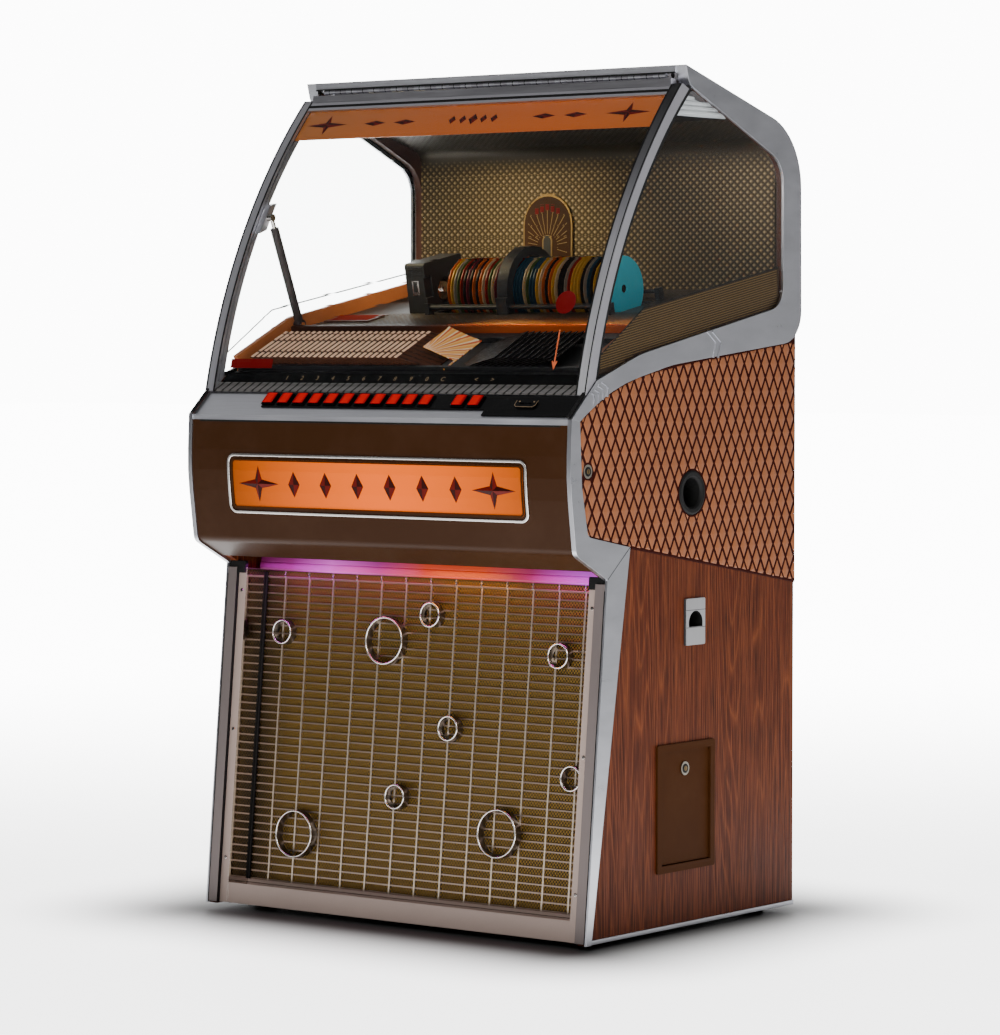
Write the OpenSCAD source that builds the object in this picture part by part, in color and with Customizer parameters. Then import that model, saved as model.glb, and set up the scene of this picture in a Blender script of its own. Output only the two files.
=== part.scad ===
/* [Cabinet] */
// Width over the side trims
cab_w = 870; // [820:1:940]
// Depth from the nose to the back of the hood
cab_d = 700; // [680:1:740]
// Height to the roof edge
cab_h = 1520; // [1500:1:1560]
// Thickness of the side boards and of the base
board_t = 18; // [15:1:22]
// Thickness of the bright edge trims on the sides
trim_t = 5; // [3:0.5:7]
// Width of the trim lip that shows from the front
lip_w = 9; // [7:0.5:12]
// Depth of the trim lip in front of the boards
lip_d = 6; // [4:0.5:8]
// Thickness of the rear panel
rear_t = 12; // [8:1:18]
// Height of the glide feet
foot_h = 10; // [6:1:16]
// Radius of a glide foot
foot_r = 22; // [15:1:30]
// Distance of the glide feet from the edges
foot_in = 60; // [40:1:90]

/* [Side outline] */
// Height of the nose edge
nose_top_z = 907; // [895:1:920]
// Height of the fullest point of the nose
nose_mid_z = 806; // [790:1:830]
// Height of the lower corner of the nose
nose_low_z = 676; // [665:1:690]
// Setback of the lower corner of the nose
nose_low_in = 16; // [8:1:30]
// Radius of the lower corner of the nose
nose_low_r = 20; // [10:1:30]
// Radius of the swell of the nose
nose_swell_r = 420; // [200:10:500]
// Setback of the nose edge
nose_top_in = 3; // [1:1:8]
// Height of the knee under the nose
knee_z = 631; // [620:1:640]
// Setback of the knee
knee_in = 105; // [95:1:115]
// Setback of the toe at the floor
toe_in = 45; // [35:1:60]
// Run of the sloping fascia
fascia_run = 71; // [66:1:76]
// Rise of the sloping fascia
fascia_rise = 65; // [60:1:70]
// Bulge of the hood behind the rear panel
hood_bulge = 17; // [12:1:24]
// Setback of the roof edge from the nose
roof_in = 334; // [320:1:345]
// Fall of the roof from front to back
roof_drop = 108; // [90:1:120]
// Radius of the upper rear corner of the hood
hood_r = 130; // [90:1:140]
// Height of the lower rear corner of the hood
hood_low_z = 1040; // [1030:1:1050]
// Radius of the lower rear corner of the hood
hood_low_r = 60; // [40:1:70]
// Width of the window trim at the rear
window_rear_w = 60; // [50:1:70]
// Radius of the upper rear corner of the window
window_r = 60; // [30:1:70]
// Rebate round the window for its pane
rebate = 8; // [6:1:10]
// Thickness of the side panes
pane_t = 6; // [4:0.5:8]
// Thickness of the padded side panels
pad_t = 2.5; // [1.5:0.5:3]
// Height of the side panel's seam at the knee
seam_front_z = 685; // [675:1:695]
// Height of the side panel's seam at the rear
seam_rear_z = 602; // [580:1:620]

/* [Lid] */
// Depth of the lid on the fascia, front edge
lid_near = 58; // [57:0.5:60]
// Depth of the lid on the fascia, rear edge
lid_far = 95; // [92:0.5:97]
// Rise of the lid's curve over its chord
lid_sag = 41; // [30:1:48]
// Width of the lid's side arms
lid_arm_w = 23; // [18:1:28]
// Height of the lid's bottom rail
lid_low_rail = 4; // [3:0.5:12]
// Height of the lid's top rail
lid_top_rail = 26; // [20:1:32]
// Height of the amber header strip
header_h = 72; // [60:1:84]
// Radius of the hinge knuckles
knuckle_r = 4.5; // [4:0.25:5]
// Radius of the hinge pin
pin_r = 2; // [1.5:0.25:2.5]
// Pitch of the hinge knuckles
knuckle_pitch = 27; // [20:0.5:40]
// Radius of the stay tube
stay_r = 8; // [6:0.5:9]
// Radius of the stay rod
rod_r = 4; // [3:0.5:5]
// Distance of the stay tube's end from the rod's eye
tube_short = 21; // [16:1:40]

/* [Nose and selector] */
// Thickness of the nose panel
nose_t = 3; // [2:0.5:4]
// Recess of the nose panel behind the trims
nose_recess = 3; // [2:0.5:4]
// Half width of the lit plate's bezel
bezel_half = 340; // [300:1:360]
// Height of the bezel
bezel_h = 108; // [90:1:120]
// Height of the bezel's centre
bezel_z = 783; // [775:1:795]
// Width of the bezel's rim
bezel_rim = 5; // [4:0.5:12]
// Gap between the bezel and the lit plate
plate_gap = 5; // [3:0.5:8]
// Corner radius of the bezel
bezel_r = 16; // [10:1:24]
// Width of a push button
button_w = 24; // [20:0.5:27]
// Length of a push button up the slope
button_l = 25; // [20:0.5:26]
// Pitch of the push buttons
button_pitch = 36; // [34:0.5:37]
// Buttons in the main row
row_count = 11; // [8:1:11]
// Centre of the first button
row_x = -262; // [-270:1:-250]
// Centre of the first button of the pair
pair_x = 172; // [165:1:180]
// Height of a button over its panel
button_h = 5; // [3:0.5:7]

/* [Lower front] */
// Depth of the grille behind the jambs
grille_d = 64; // [50:1:75]
// Thickness of the grille
grille_t = 3; // [2:0.5:5]
// Lower edge of the grille
grille_z0 = 56; // [52:1:62]
// Upper edge of the grille
grille_z1 = 622; // [600:1:624]
// Spacing of the upright bars
upright_pitch = 57.3; // [45:0.1:70]
// Width of the upright bars
upright_w = 3.5; // [3:0.5:6]
// Spacing of the cross bars
cross_pitch = 14.6; // [10:0.1:20]
// Height of the cross bars
cross_h = 2.8; // [2:0.2:5]
// Radius of the large rings
ring_large = 43; // [36:1:48]
// Radius of the small rings
ring_small = 22.5; // [18:0.5:28]
// Wall of the rings
ring_wall = 3; // [2:0.5:6]
// Depth of the rings
ring_d = 16; // [10:1:22]
// Width of each face of the stepped jambs
jamb_face = 18; // [14:1:22]
// Step between the two jamb faces
jamb_step = 8; // [7:1:12]
// Thickness of the jamb sheet
jamb_t = 3; // [2:0.5:4]
// Height of the kick plate
kick_h = 50; // [45:1:54]

/* [Side fittings] */
// Width of the cash door frame
door_w = 174; // [150:1:190]
// Height of the cash door frame
door_h = 225; // [200:1:250]
// Lower edge of the cash door frame
door_z = 110; // [90:1:130]
// Centre of the cash door frame, front to back
door_y = -9; // [-20:1:10]
// Rim of the cash door frame
door_rim = 13; // [10:1:16]
// Thickness of the cash door
door_t = 3; // [2:0.5:4]
// Radius of the lock barrels
lock_r = 9; // [7:0.5:11]
// Height of the cash lock over the frame's lower edge
lock_up = 179; // [160:1:185]
// Centre of the side lock, front to back, behind the nose
side_lock_in = 52; // [45:1:60]
// Height of the side lock
side_lock_z = 818; // [800:1:830]
// Radius of the grip cups
grip_r = 39.5; // [34:0.5:44]
// Depth of the grip cups
grip_d = 38; // [30:1:50]
// Height of the grip cups
grip_z = 773; // [750:1:800]
// Centre of the grip cups, front to back
grip_y = 8; // [-20:1:30]
// Width of the coin return plate
coin_w = 58; // [50:1:66]
// Height of the coin return plate
coin_h = 82; // [76:1:90]
// Centre of the coin return plate, front to back
coin_y = 18; // [0:1:40]
// Lower edge of the coin return plate
coin_z = 505; // [480:1:520]
// Width of the coin return mouth
mouth_w = 42; // [34:1:44]
// Depth of the coin return cup
cup_d = 44; // [30:1:60]

/* [Mechanism] */
// Slope of the mechanism deck, in degrees
deck_a = 11; // [9:0.5:12]
// Thickness of the deck sheets
deck_t = 3; // [2:0.5:4]
// Distance of the disc row behind the front edge of the deck
row_u = 229; // [215:1:240]
// Height of the disc row over the deck
row_h = 33; // [30:1:38]
// Radius of a disc
disc_r = 60; // [60:1:60]
// Thickness of a disc
disc_t = 1.2; // [1.2:0.1:1.2]
// Pitch of the discs
disc_pitch = 7.3; // [6:0.1:9]
// Number of discs
disc_count = 50; // [40:1:52]
// Place of the first disc
disc_x = -160; // [-165:1:-150]
// Width of the pick carriage
carriage_w = 24; // [18:1:30]
// Rest place of the pick carriage
carriage_x = -17; // [-30:1:0]
// Radius of the guide rods
guide_r = 4; // [3:0.5:5]
// Width of the player housing
player_w = 46; // [40:1:55]
// Height of the player housing
player_h = 94; // [90:1:110]
// Width of a title page
page_w = 90; // [70:1:95]
// Pitch of the title pages
page_pitch = 13.5; // [12:0.5:16]
// Lean of the title pages, in degrees
page_lean = 14; // [12:0.5:16]
// Thickness of a title page
page_t = 2; // [1.5:0.25:2.25]

/* [Hidden] */
$fn = 48;

// Clearances: gap between still pieces and moving ones, running fit on a pin, small seat gap
move_gap = 0.4;
run_fit = 0.05;
seat_gap = 0.3;
// Overshoot of a cut past a face
cut = 1;

// Finish colours
bright = [0.66, 0.67, 0.70];
steel = [0.55, 0.50, 0.47];
wood = [0.40, 0.24, 0.16];
tan_pad = [0.65, 0.43, 0.29];
brown = [0.24, 0.14, 0.08];
amber = [0.85, 0.45, 0.12];
black = [0.06, 0.06, 0.06];
gold = [0.47, 0.38, 0.12];
clear = [0.75, 0.82, 0.84, 0.3];

// Planes of the cabinet
y_front = -cab_d / 2;
y_rear = cab_d / 2;
y_back = y_rear - hood_bulge;
x_out = cab_w / 2;
x_face = x_out - trim_t;
x_in = x_face - board_t;
x_lip = x_out - lip_w;

// Plane helpers for points [y, z]
function unit(v) = v / norm(v);
function right(v) = [v[1], -v[0]];
function mix(a, b, k) = a + (b - a) * k;
function toward(a, b, d) = a + unit(b - a) * d;
function flipped(path) = [for (i = [len(path) - 1 : -1 : 0]) path[i]];
function plain(p) = [p[0], p[1]];
function turned(v, a) = [v[0] * cos(a) - v[1] * sin(a), v[0] * sin(a) + v[1] * cos(a)];
// Arc of radius r that rounds the corner p between a and b
function corner(a, p, b, r) =
  let (
    u = unit(a - p),
    v = unit(b - p),
    half = acos(u * v) / 2,
    c = p + unit(u + v) * (r / sin(half)),
    s = p + u * (r / tan(half)) - c,
    sweep = (180 - 2 * half) * sign(cross(s, p - c)),
    n = max(2, ceil(abs(sweep) / 6))
  )
  [for (k = [0 : n]) c + turned(s, sweep * k / n)];
// Outline with the corners [y, z, radius] rounded
function rounded(pts, closed = true) =
  let (n = len(pts))
  [
    for (i = [0 : n - 1])
      let (
        r = len(pts[i]) > 2 ? pts[i][2] : 0,
        sharp = r == 0 || (!closed && (i == 0 || i == n - 1))
      )
      each sharp
        ? [plain(pts[i])]
        : corner(plain(pts[(i + n - 1) % n]), plain(pts[i]), plain(pts[(i + 1) % n]), r)
  ];
// Path moved sideways, to the right of its own direction
function shifted(path, d) = [
  for (i = [0 : len(path) - 1])
    let (
      before = unit(path[max(i, 1)] - path[max(i, 1) - 1]),
      after = i == len(path) - 1 ? before : unit(path[i + 1] - path[i]),
      m = right(before) + right(after)
    )
    path[i] + m * (2 * d / (m * m))
];

module along_x(x0, x1) {
  translate([x0, 0, 0])
    rotate([90, 0, 90])
      linear_extrude(x1 - x0)
        children();
}
module along_y(y0, y1) {
  translate([0, y1, 0])
    rotate([90, 0, 0])
      linear_extrude(y1 - y0)
        children();
}
module both_sides() {
  children();
  mirror([1, 0, 0])
    children();
}
// Sheet between two shifts of a path
module band(path, d0, d1) {
  polygon(concat(shifted(path, d0), flipped(shifted(path, d1))));
}
module block(low, high) {
  translate(low)
    cube(high - low);
}
module rod(from, r, len_x) {
  translate(from)
    rotate([0, 90, 0])
      cylinder(h = len_x, r = r);
}
module round_plate(w, h, r) {
  square([w - 2 * r, h], center = true);
  square([w, h - 2 * r], center = true);
  for (x = [-1, 1], y = [-1, 1])
    translate([x * (w / 2 - r), y * (h / 2 - r)])
      circle(r = r);
}
module slot(w, h) {
  square([w - h, h], center = true);
  for (x = [-1, 1])
    translate([x * (w - h) / 2, 0])
      circle(d = h);
}

// Front edge of the side, from the toe up to the end of the fascia
toe = [y_front + toe_in, foot_h];
knee = [y_front + knee_in, knee_z];
nose_low = [y_front + nose_low_in, nose_low_z];
nose_mid = [y_front - 1.6, nose_mid_z];
nose_top = [y_front + nose_top_in, nose_top_z];
fascia_end = nose_top + [fascia_run, fascia_rise];
nose_path = rounded([knee, [each nose_low, nose_low_r], [each nose_mid, nose_swell_r], nose_top], false);
front_path = concat([toe], nose_path, [fascia_end]);
fascia_dir = unit(fascia_end - nose_top);
fascia_up = -right(fascia_dir);
fascia_a = atan2(fascia_rise, fascia_run);
fascia_len = norm(fascia_end - nose_top);

// Outline of the hood trim round the side window
roof_front = [y_front + roof_in, cab_h];
roof_rear = [y_rear - 3, cab_h - roof_drop];
hood_low = [y_rear, hood_low_z];
trim_bend = [y_front + 296, hood_low_z - 42.5];
trim_mid = [y_front + 118, hood_low_z - 80];
trim_nose = [y_front + 26, nose_top_z - 4];
window_front = [y_front + 200, hood_low_z - 24];
window_low = [y_rear - window_rear_w, hood_low_z + 62];
window_high = [y_rear - window_rear_w, cab_h - roof_drop - 54];
window_tip = roof_front + [14, -36];
roof_lip = roof_front + [8, -28];
trim_bend_r = 400;
trim_mid_r = 450;
window_front_r = 300;
window_low_r = 45;
window_path = rounded([
  window_tip,
  [each window_high, window_r],
  [each window_low, window_low_r],
  [each window_front, window_front_r],
  fascia_end
], false);
hood_path = rounded([
  roof_front,
  [each roof_rear, hood_r],
  [each hood_low, hood_low_r],
  [each trim_bend, trim_bend_r],
  [each trim_mid, trim_mid_r],
  trim_nose
], false);
hood_outline = concat(hood_path, [nose_top], flipped(window_path), [roof_lip]);

// Line where the hood frame sits on the side board
seat_front = [y_front + 200, hood_low_z - 44];
seat_rear = [y_back, hood_low_z + 22];
function board_outline(d) = concat(shifted(front_path, d), [seat_front, seat_rear, [y_back, foot_h]]);

// Inner edge of the nose trim and rear edge of the lower trim
nose_inner = rounded([
  trim_nose,
  [y_front + 32, nose_mid_z - 15],
  [y_front + 49, nose_low_z + 31, 14],
  [y_front + 171, seam_front_z]
], false);
lower_inner = [[y_front + 171, seam_front_z], [y_front + 60, foot_h]];

// Lean of the lower front
lean_a = atan2(knee_in - toe_in, knee_z - foot_h);
module on_lean() {
  translate([0, toe[0], toe[1]])
    rotate([-lean_a, 0, 0])
      translate([0, 0, -foot_h])
        children();
}
module on_fascia() {
  translate([0, nose_top[0], nose_top[1]])
    rotate([fascia_a, 0, 0])
      children();
}

// Decks under the glass
kink = [y_front + 255, nose_top_z + 150];
title_foot = [y_front + 94, nose_top_z + 74];
wall_y = y_rear - window_rear_w + rebate;
deck_end = [wall_y, kink[1] + (wall_y - kink[0]) * tan(deck_a)];
deck_path = [title_foot, kink, deck_end];
title_a = atan2(kink[1] - title_foot[1], kink[0] - title_foot[0]);
inner_t = 10;
x_deck = x_in - inner_t;
module on_title() {
  translate([0, title_foot[0], title_foot[1]])
    rotate([title_a, 0, 0])
      children();
}
module on_deck() {
  translate([0, kink[0], kink[1]])
    rotate([deck_a, 0, 0])
      children();
}

// Curve of the lid: k goes from its front face to its rear face, t from bottom to top
lid_gap = 1;
lid_a0 = nose_top + fascia_dir * lid_near + fascia_up * lid_gap;
lid_a1 = nose_top + fascia_dir * lid_far + fascia_up * lid_gap;
lid_b0 = roof_front + [-9, -33];
lid_b1 = roof_front + [12, -42];
lid_steps = 28;
function lid_pt(k, t) =
  let (
    a = mix(lid_a0, lid_a1, k),
    b = mix(lid_b0, lid_b1, k),
    half = 2 * atan(2 * lid_sag / norm(b - a)),
    r = norm(b - a) / (2 * sin(half)),
    dir = unit(b - a),
    c = (a + b) / 2 + right(dir) * (r - lid_sag),
    w = half * (2 * t - 1)
  )
  c - right(dir) * (r * cos(w)) + dir * (r * sin(w));
function lid_arc(k, t0, t1) =
  let (n = max(2, ceil((t1 - t0) * lid_steps)))
  [for (i = [0 : n]) lid_pt(k, mix(t0, t1, i / n))];
module lid_slice(k0, k1, t0, t1) {
  polygon(concat(lid_arc(k0, t0, t1), flipped(lid_arc(k1, t0, t1))));
}
lid_len = norm(lid_b0 - lid_a0);
lid_t0 = lid_low_rail / lid_len;
lid_t1 = 1 - lid_top_rail / lid_len;
glass_k0 = 0.28;
glass_k1 = 0.45;
low_rail_k = 0.52;
header_k0 = 0.465;
header_k1 = 0.54;
x_arm_out = x_out - 2;
x_arm_in = x_arm_out - lid_arm_w;

// Hinge of the lid under the roof rail
hinge = roof_front + [2, -18];
leaf_t = 2.4;
knuckle_gap = 0.5;
knuckle_count = 2 * floor((x_arm_in - 2) / knuckle_pitch - 0.5) + 1;
knuckle_x0 = -knuckle_count * knuckle_pitch / 2;

// Stay of the lid
x_stay = -(x_deck - 2 - stay_r);
stay_low = kink + [8, 12];
stay_t = 0.54;
stay_high = lid_pt(1, stay_t);
stay_len = norm(stay_high - stay_low);
tube_len = stay_len - tube_short;
stay_a = atan2(stay_high[1] - stay_low[1], stay_high[0] - stay_low[0]);
stay_bracket_t = 12;
rod_eye_r = 7;
rod_inside = 25;
module on_stay() {
  translate([x_stay, stay_low[0], stay_low[1]])
    rotate([stay_a - 90, 0, 0])
      children();
}

// Disc row on the deck
guide_off = disc_r + 17;
guide_h = 14;
trough_half = 53;
trough_wall = 3;
trough_d = 34;
hoop_in = disc_r + 3.5;
hoop_out = disc_r + 20;
row_end = disc_x + (disc_count - 1) * disc_pitch;
rack_x0 = disc_x - 40;
rack_x1 = row_end + 26;
player_x = rack_x0 - 12;
block_w = 10;

// Title pages on the title deck
page_u0 = 16;
page_u1 = 126;
turn_u0 = 44;
turn_w = 68;
turn_lean = 24;
turn_pivot_h = 4;
page_rail_w = 6;
page_rail_h = 9;
left_pages = 26;
right_pages = 11;
left_x = -(x_deck - page_w - 30);
left_end = left_x + (left_pages - 1) * page_pitch;
turn_x = left_end + 26;
right_x = turn_x + 26;

// Ring ornaments on the grille: [x, height, large]
rings = [
  [-333, 513, false], [-90, 508, true], [12, 559, false], [302, 500, false], [68, 360, false],
  [-44, 231, false], [345, 290, false], [-275, 147, true], [191, 183, true]
];

// Cash door opening
door_y0 = door_y - door_w / 2;
door_y1 = door_y + door_w / 2;
door_hole_y0 = door_y0 + door_rim;
door_hole_y1 = door_y1 - door_rim;
door_hole_z0 = door_z + door_rim;
door_hole_z1 = door_z + door_h - door_rim;
door_sleeve = 3;
door_gap = 1.5;
door_pin_up = 4.5;
door_pin_r = 1.5;
x_door = x_face - 1;
side_lock_y = y_front + side_lock_in;
cash_lock_z = door_z + lock_up;

// Coin return
mouth_r = mouth_w / 2;
mouth_z = coin_z + 32;
mouth_h = mouth_r + 7;
cup_wall = 2;
cup_half = mouth_r + cup_wall;
coin_mid_z = coin_z + coin_h / 2;

// Cabinet boards
module side_board(cuts) {
  difference() {
    along_x(x_in, x_face)
      polygon(board_outline(lip_d));
    rod([x_in - cut, grip_y, grip_z], grip_r - 6, board_t + 2 * cut);
    if (cuts) {
      block([x_in - cut, door_hole_y0 - door_sleeve, door_hole_z0 - door_sleeve],
        [x_face + cut, door_hole_y1 + door_sleeve, door_hole_z1 + door_sleeve]);
      block([x_in - cut, coin_y - cup_half, mouth_z - cup_wall],
        [x_face + cut, coin_y + cup_half, mouth_z + mouth_h + cup_wall]);
      rod([x_in - cut, side_lock_y, side_lock_z], lock_r + run_fit, board_t + 2 * cut);
    }
  }
}
module side_board_left() {
  color(wood)
    mirror([1, 0, 0])
      side_board(false);
}
module side_board_right() {
  color(wood)
    side_board(true);
}
base_front = toe[0] + grille_d + 14;
module base_board() {
  color(brown)
    block([-x_in, base_front, foot_h], [x_in, y_back - rear_t, foot_h + board_t]);
}
// Rear panel with rows of vent slots and the cut-out of the mains inlet
vent_l = 70;
vent_h = 6;
vent_rows = 6;
inlet_w = 60;
inlet_h = 40;
inlet_z = 90;
rear_top = hood_low_z - 6;
module rear_panel() {
  color(black)
    difference() {
      block([-x_in, y_back - rear_t, foot_h], [x_in, y_back, rear_top]);
      for (x = [-2.5 : 1 : 2.5], z = [0 : vent_rows - 1], base = [foot_h + 230, rear_top - 220])
        translate([x * (vent_l + 20), y_back, base + z * 22])
          rotate([90, 0, 0])
            translate([0, 0, -cut])
              linear_extrude(rear_t + 2 * cut)
                slot(vent_l, vent_h);
      block([-inlet_w / 2, y_back - rear_t - cut, inlet_z - inlet_h / 2],
        [inlet_w / 2, y_back + cut, inlet_z + inlet_h / 2]);
    }
}
// Roof that turns down into the back of the hood
roof_t = 6;
roof_set = 2;
rail_d = 36;
roof_dir = unit(roof_rear - roof_front);
roof_path = rounded([
  roof_front + roof_dir * (rail_d + seat_gap),
  [each roof_rear, hood_r],
  [each hood_low, hood_low_r],
  mix(hood_low, trim_bend, 0.14)
], false);
// Embossed back wall and ceiling
wall_t = 2;
// Start of the ceiling behind the tip of the windows
wall_start = [34, -15];
// Rise and radius of the bend between the wall and the ceiling
wall_up = 37;
wall_r = 20;
wall_path = rounded([
  window_tip + wall_start,
  [window_high[0], window_high[1] + wall_up, wall_r],
  [window_high[0], deck_end[1] - 14]
], false);
module back_wall() {
  color(gold)
    along_x(-x_in, x_in)
      band(wall_path, -rebate - wall_t, -rebate);
}
// Lamp box behind the header, hung from the ceiling
lamp_t = 2;
lamp_d = 166;
ceiling = shifted(wall_path, -rebate);
lamp_low = window_tip + [-30, -52];
lamp_high = window_tip + [0, -16];
lamp_back = lamp_low + [lamp_d, 0];
lamp_top = mix(ceiling[0], ceiling[1], (lamp_back[0] - ceiling[0][0]) / (ceiling[1][0] - ceiling[0][0]));
lamp_path = [lamp_top, lamp_back, lamp_low, lamp_high];
module lamp_box() {
  along_x(-x_in, x_in)
    intersection() {
      band(lamp_path, 0, lamp_t);
      polygon(concat(lamp_path, [ceiling[0]]));
    }
  both_sides()
    along_x(x_in - lamp_t, x_in)
      polygon(concat(lamp_path, [ceiling[0]]));
}
module roof_shell() {
  color(bright) {
    along_x(-x_in, x_in)
      band(roof_path, roof_set, roof_set + roof_t);
    lamp_box();
  }
}
module knuckles(odd) {
  for (i = [odd ? 1 : 0 : 2 : knuckle_count - 1])
    translate([knuckle_x0 + i * knuckle_pitch + knuckle_gap / 2, 0, 0])
      children();
}
module knuckle() {
  rod([0, hinge[0], hinge[1]], knuckle_r, knuckle_pitch - knuckle_gap);
}
// Roof rail with its hinge leaf, knuckles and pin
rail_h = 13;
module roof_rail() {
  color(bright) {
    along_x(-x_in, x_in)
      polygon([
        roof_front,
        roof_front + roof_dir * rail_d,
        roof_front + roof_dir * rail_d + right(roof_dir) * rail_h,
        roof_front - [0, rail_h - 0.5]
      ]);
    knuckles(false) {
      knuckle();
      block([0, hinge[0] - leaf_t / 2, hinge[1]],
        [knuckle_pitch - knuckle_gap, hinge[0] + leaf_t / 2, hinge[1] + knuckle_r + 4]);
    }
    rod([knuckle_x0, hinge[0], hinge[1]], pin_r, knuckle_count * knuckle_pitch);
  }
}
// Bright trims round the side windows, with the frame behind them
module hood_trims() {
  color(bright)
    both_sides() {
      along_x(x_face, x_out)
        polygon(hood_outline);
      along_x(x_in, x_face)
        difference() {
          polygon(hood_outline);
          polygon(board_outline(0));
          band(window_path, -rebate, 0);
        }
      along_x(x_lip, x_face)
        difference() {
          band([nose_top, fascia_end], 0, lip_d);
          band(nose_path, 0, lip_d);
        }
    }
}
module front_trims() {
  color(bright)
    both_sides() {
      along_x(x_face, x_out)
        polygon(concat(nose_path, nose_inner));
      along_x(x_lip, x_face)
        band(nose_path, 0, lip_d);
      along_x(x_face, x_out)
        polygon(concat([toe, knee], lower_inner));
    }
}
// Padded panels between the trims and the seam
module side_pads() {
  color(tan_pad)
    both_sides()
      difference() {
        along_x(x_face, x_face + pad_t)
          difference() {
            polygon(concat(flipped(nose_inner), [trim_mid + [0, 14], trim_bend + [0, 20],
              [y_back, hood_low_z + 40], [y_back, seam_rear_z]]));
            polygon(hood_outline);
          }
        rod([x_face - cut, grip_y, grip_z], grip_r + seat_gap, pad_t + 2 * cut);
        rod([x_face - cut, side_lock_y, side_lock_z], lock_r + 3 + seat_gap, pad_t + 2 * cut);
      }
}
module glide_feet() {
  color(black)
    for (x = [-1, 1], y = [base_front + foot_in / 2, y_back - foot_in])
      translate([x * (x_in - foot_in / 2), y, 0])
        rotate_extrude()
          polygon([
            [0, 0], [foot_r - 3, 0], [foot_r, 3], [foot_r, foot_h - 3], [foot_r / 2, foot_h], [0, foot_h]
          ]);
}
// Side panes in the rebate of the hood frame, ending behind the lid
pane_behind = 2;
module side_windows() {
  color(clear)
    both_sides()
      along_x(x_face - pane_t, x_face)
        difference() {
          polygon(concat(shifted(window_path, seat_gap - rebate), shifted(lid_arc(1, 0, 1), pane_behind)));
          polygon(board_outline(0));
        }
}
// Low boards beside the decks
board_over = 25;
board_under = 12;
module inner_boards() {
  color(wood)
    both_sides()
      along_x(x_deck, x_in)
        band([toward(title_foot, kink, 18), kink, toward(deck_end, kink, 5)], -board_over, board_under);
  // Pivot pin of the lid stay
  color(steel)
    rod([-x_deck - cut, stay_low[0], stay_low[1]], rod_r, 2 * stay_r + 4 + cut);
}
// Mechanism deck, with the disc trough between its two sheets
deck_len = norm(deck_end - kink);
module mech_deck() {
  color(gold) {
    along_x(-x_deck, x_deck)
      polygon([
        kink,
        kink + turned([row_u - trough_half - trough_wall, 0], deck_a),
        kink + turned([row_u - trough_half - trough_wall, -deck_t], deck_a),
        shifted(deck_path, deck_t)[1]
      ]);
    on_deck()
      block([-x_deck, row_u + trough_half + trough_wall, -deck_t],
        [x_deck, deck_len - deck_t * tan(deck_a), 0]);
  }
}
// Title deck with the two rails that carry the pages
module title_deck() {
  color(black) {
    along_x(-x_deck, x_deck)
      polygon([title_foot, kink, shifted(deck_path, deck_t)[1], shifted(deck_path, deck_t)[0]]);
    on_title()
      difference() {
        union()
          for (u = [page_u0 - page_rail_w - seat_gap, page_u1 + seat_gap])
            block([-x_deck, u, -deck_t / 2], [x_deck, u + page_rail_w, page_rail_h]);
        translate([turn_x, page_u0 - page_rail_w - cut, turn_pivot_h])
          rotate([-90, 0, 0])
            cylinder(h = page_u1 - page_u0 + 2 * page_rail_w + 2 * cut, r = door_pin_r + run_fit);
      }
  }
}
// Black strip over the buttons
strip_t = 3;
fascia_sheet_len = 79;
strip_low = nose_top + fascia_dir * (fascia_sheet_len + 0.2) - fascia_up * 5;
strip_high = title_foot + [-8, 0];
module number_strip() {
  color(black)
    along_x(-x_in, x_in)
      band([strip_low, strip_high], 0, strip_t);
}
// Aluminium fascia with the button and coin openings
fascia_set = 2;
fascia_lip = 10;
coin_slot_x = x_lip - 106;
coin_slot = [28, 4];
coin_slot_u = 34;
button_u = 40;
button_x = concat(
  [for (i = [0 : row_count - 1]) row_x + i * button_pitch],
  [for (i = [0 : 12 - row_count]) pair_x + i * button_pitch]
);
module button_windows(grow) {
  for (x = button_x)
    block([x - button_w / 2 - grow, button_u - button_l / 2 - grow, -lip_d - cut],
      [x + button_w / 2 + grow, button_u + button_l / 2 + grow, button_h]);
  block([coin_slot_x - coin_slot[0] / 2, coin_slot_u - coin_slot[1] / 2, -lip_d - cut],
    [coin_slot_x + coin_slot[0] / 2, coin_slot_u + coin_slot[1] / 2, button_h]);
}
lip_point = toward(nose_top, nose_mid, fascia_lip);
module fascia() {
  color(bright)
    difference() {
      along_x(-x_lip, x_lip)
        band([lip_point, nose_top, nose_top + fascia_dir * fascia_sheet_len], fascia_set, lip_d);
      on_fascia()
        button_windows(2 * move_gap);
    }
}
// Black selector panel on the fascia, wider at the coin slot
panel_proud = 0.5;
panel_edge = 4;
coin_part_w = 186;
panel_x0 = row_x - button_w / 2;
panel_x1 = x_lip - panel_edge;
panel_step = panel_x1 - coin_part_w;
panel_u0 = 21;
panel_coin_u0 = 7;
panel_u1 = 56.5;
module selector_panel() {
  color(black)
    on_fascia()
      difference() {
        union() {
          translate([0, 0, -fascia_set])
            linear_extrude(fascia_set + panel_proud)
              polygon([[panel_x0, panel_u0], [panel_step, panel_u0], [panel_step, panel_coin_u0],
                [panel_x1, panel_coin_u0], [panel_x1, panel_u1], [panel_x0, panel_u1]]);
          translate([coin_slot_x, coin_slot_u, 0])
            linear_extrude(panel_proud + 3)
              round_plate(coin_slot[0] + 14, coin_slot[1] + 14, 5);
        }
        button_windows(move_gap);
      }
}
// Push button: cap in its window and a flange behind the fascia
flange = 2;
module button(i) {
  color("red")
    on_fascia()
      translate([button_x[i], button_u, 0]) {
        translate([0, 0, -lip_d - seat_gap])
          linear_extrude(lip_d + seat_gap + button_h)
            round_plate(button_w, button_l, 2);
        translate([0, 0, -lip_d - seat_gap - flange])
          linear_extrude(flange)
            round_plate(button_w + 6, button_l + 6, 2);
      }
}
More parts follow.
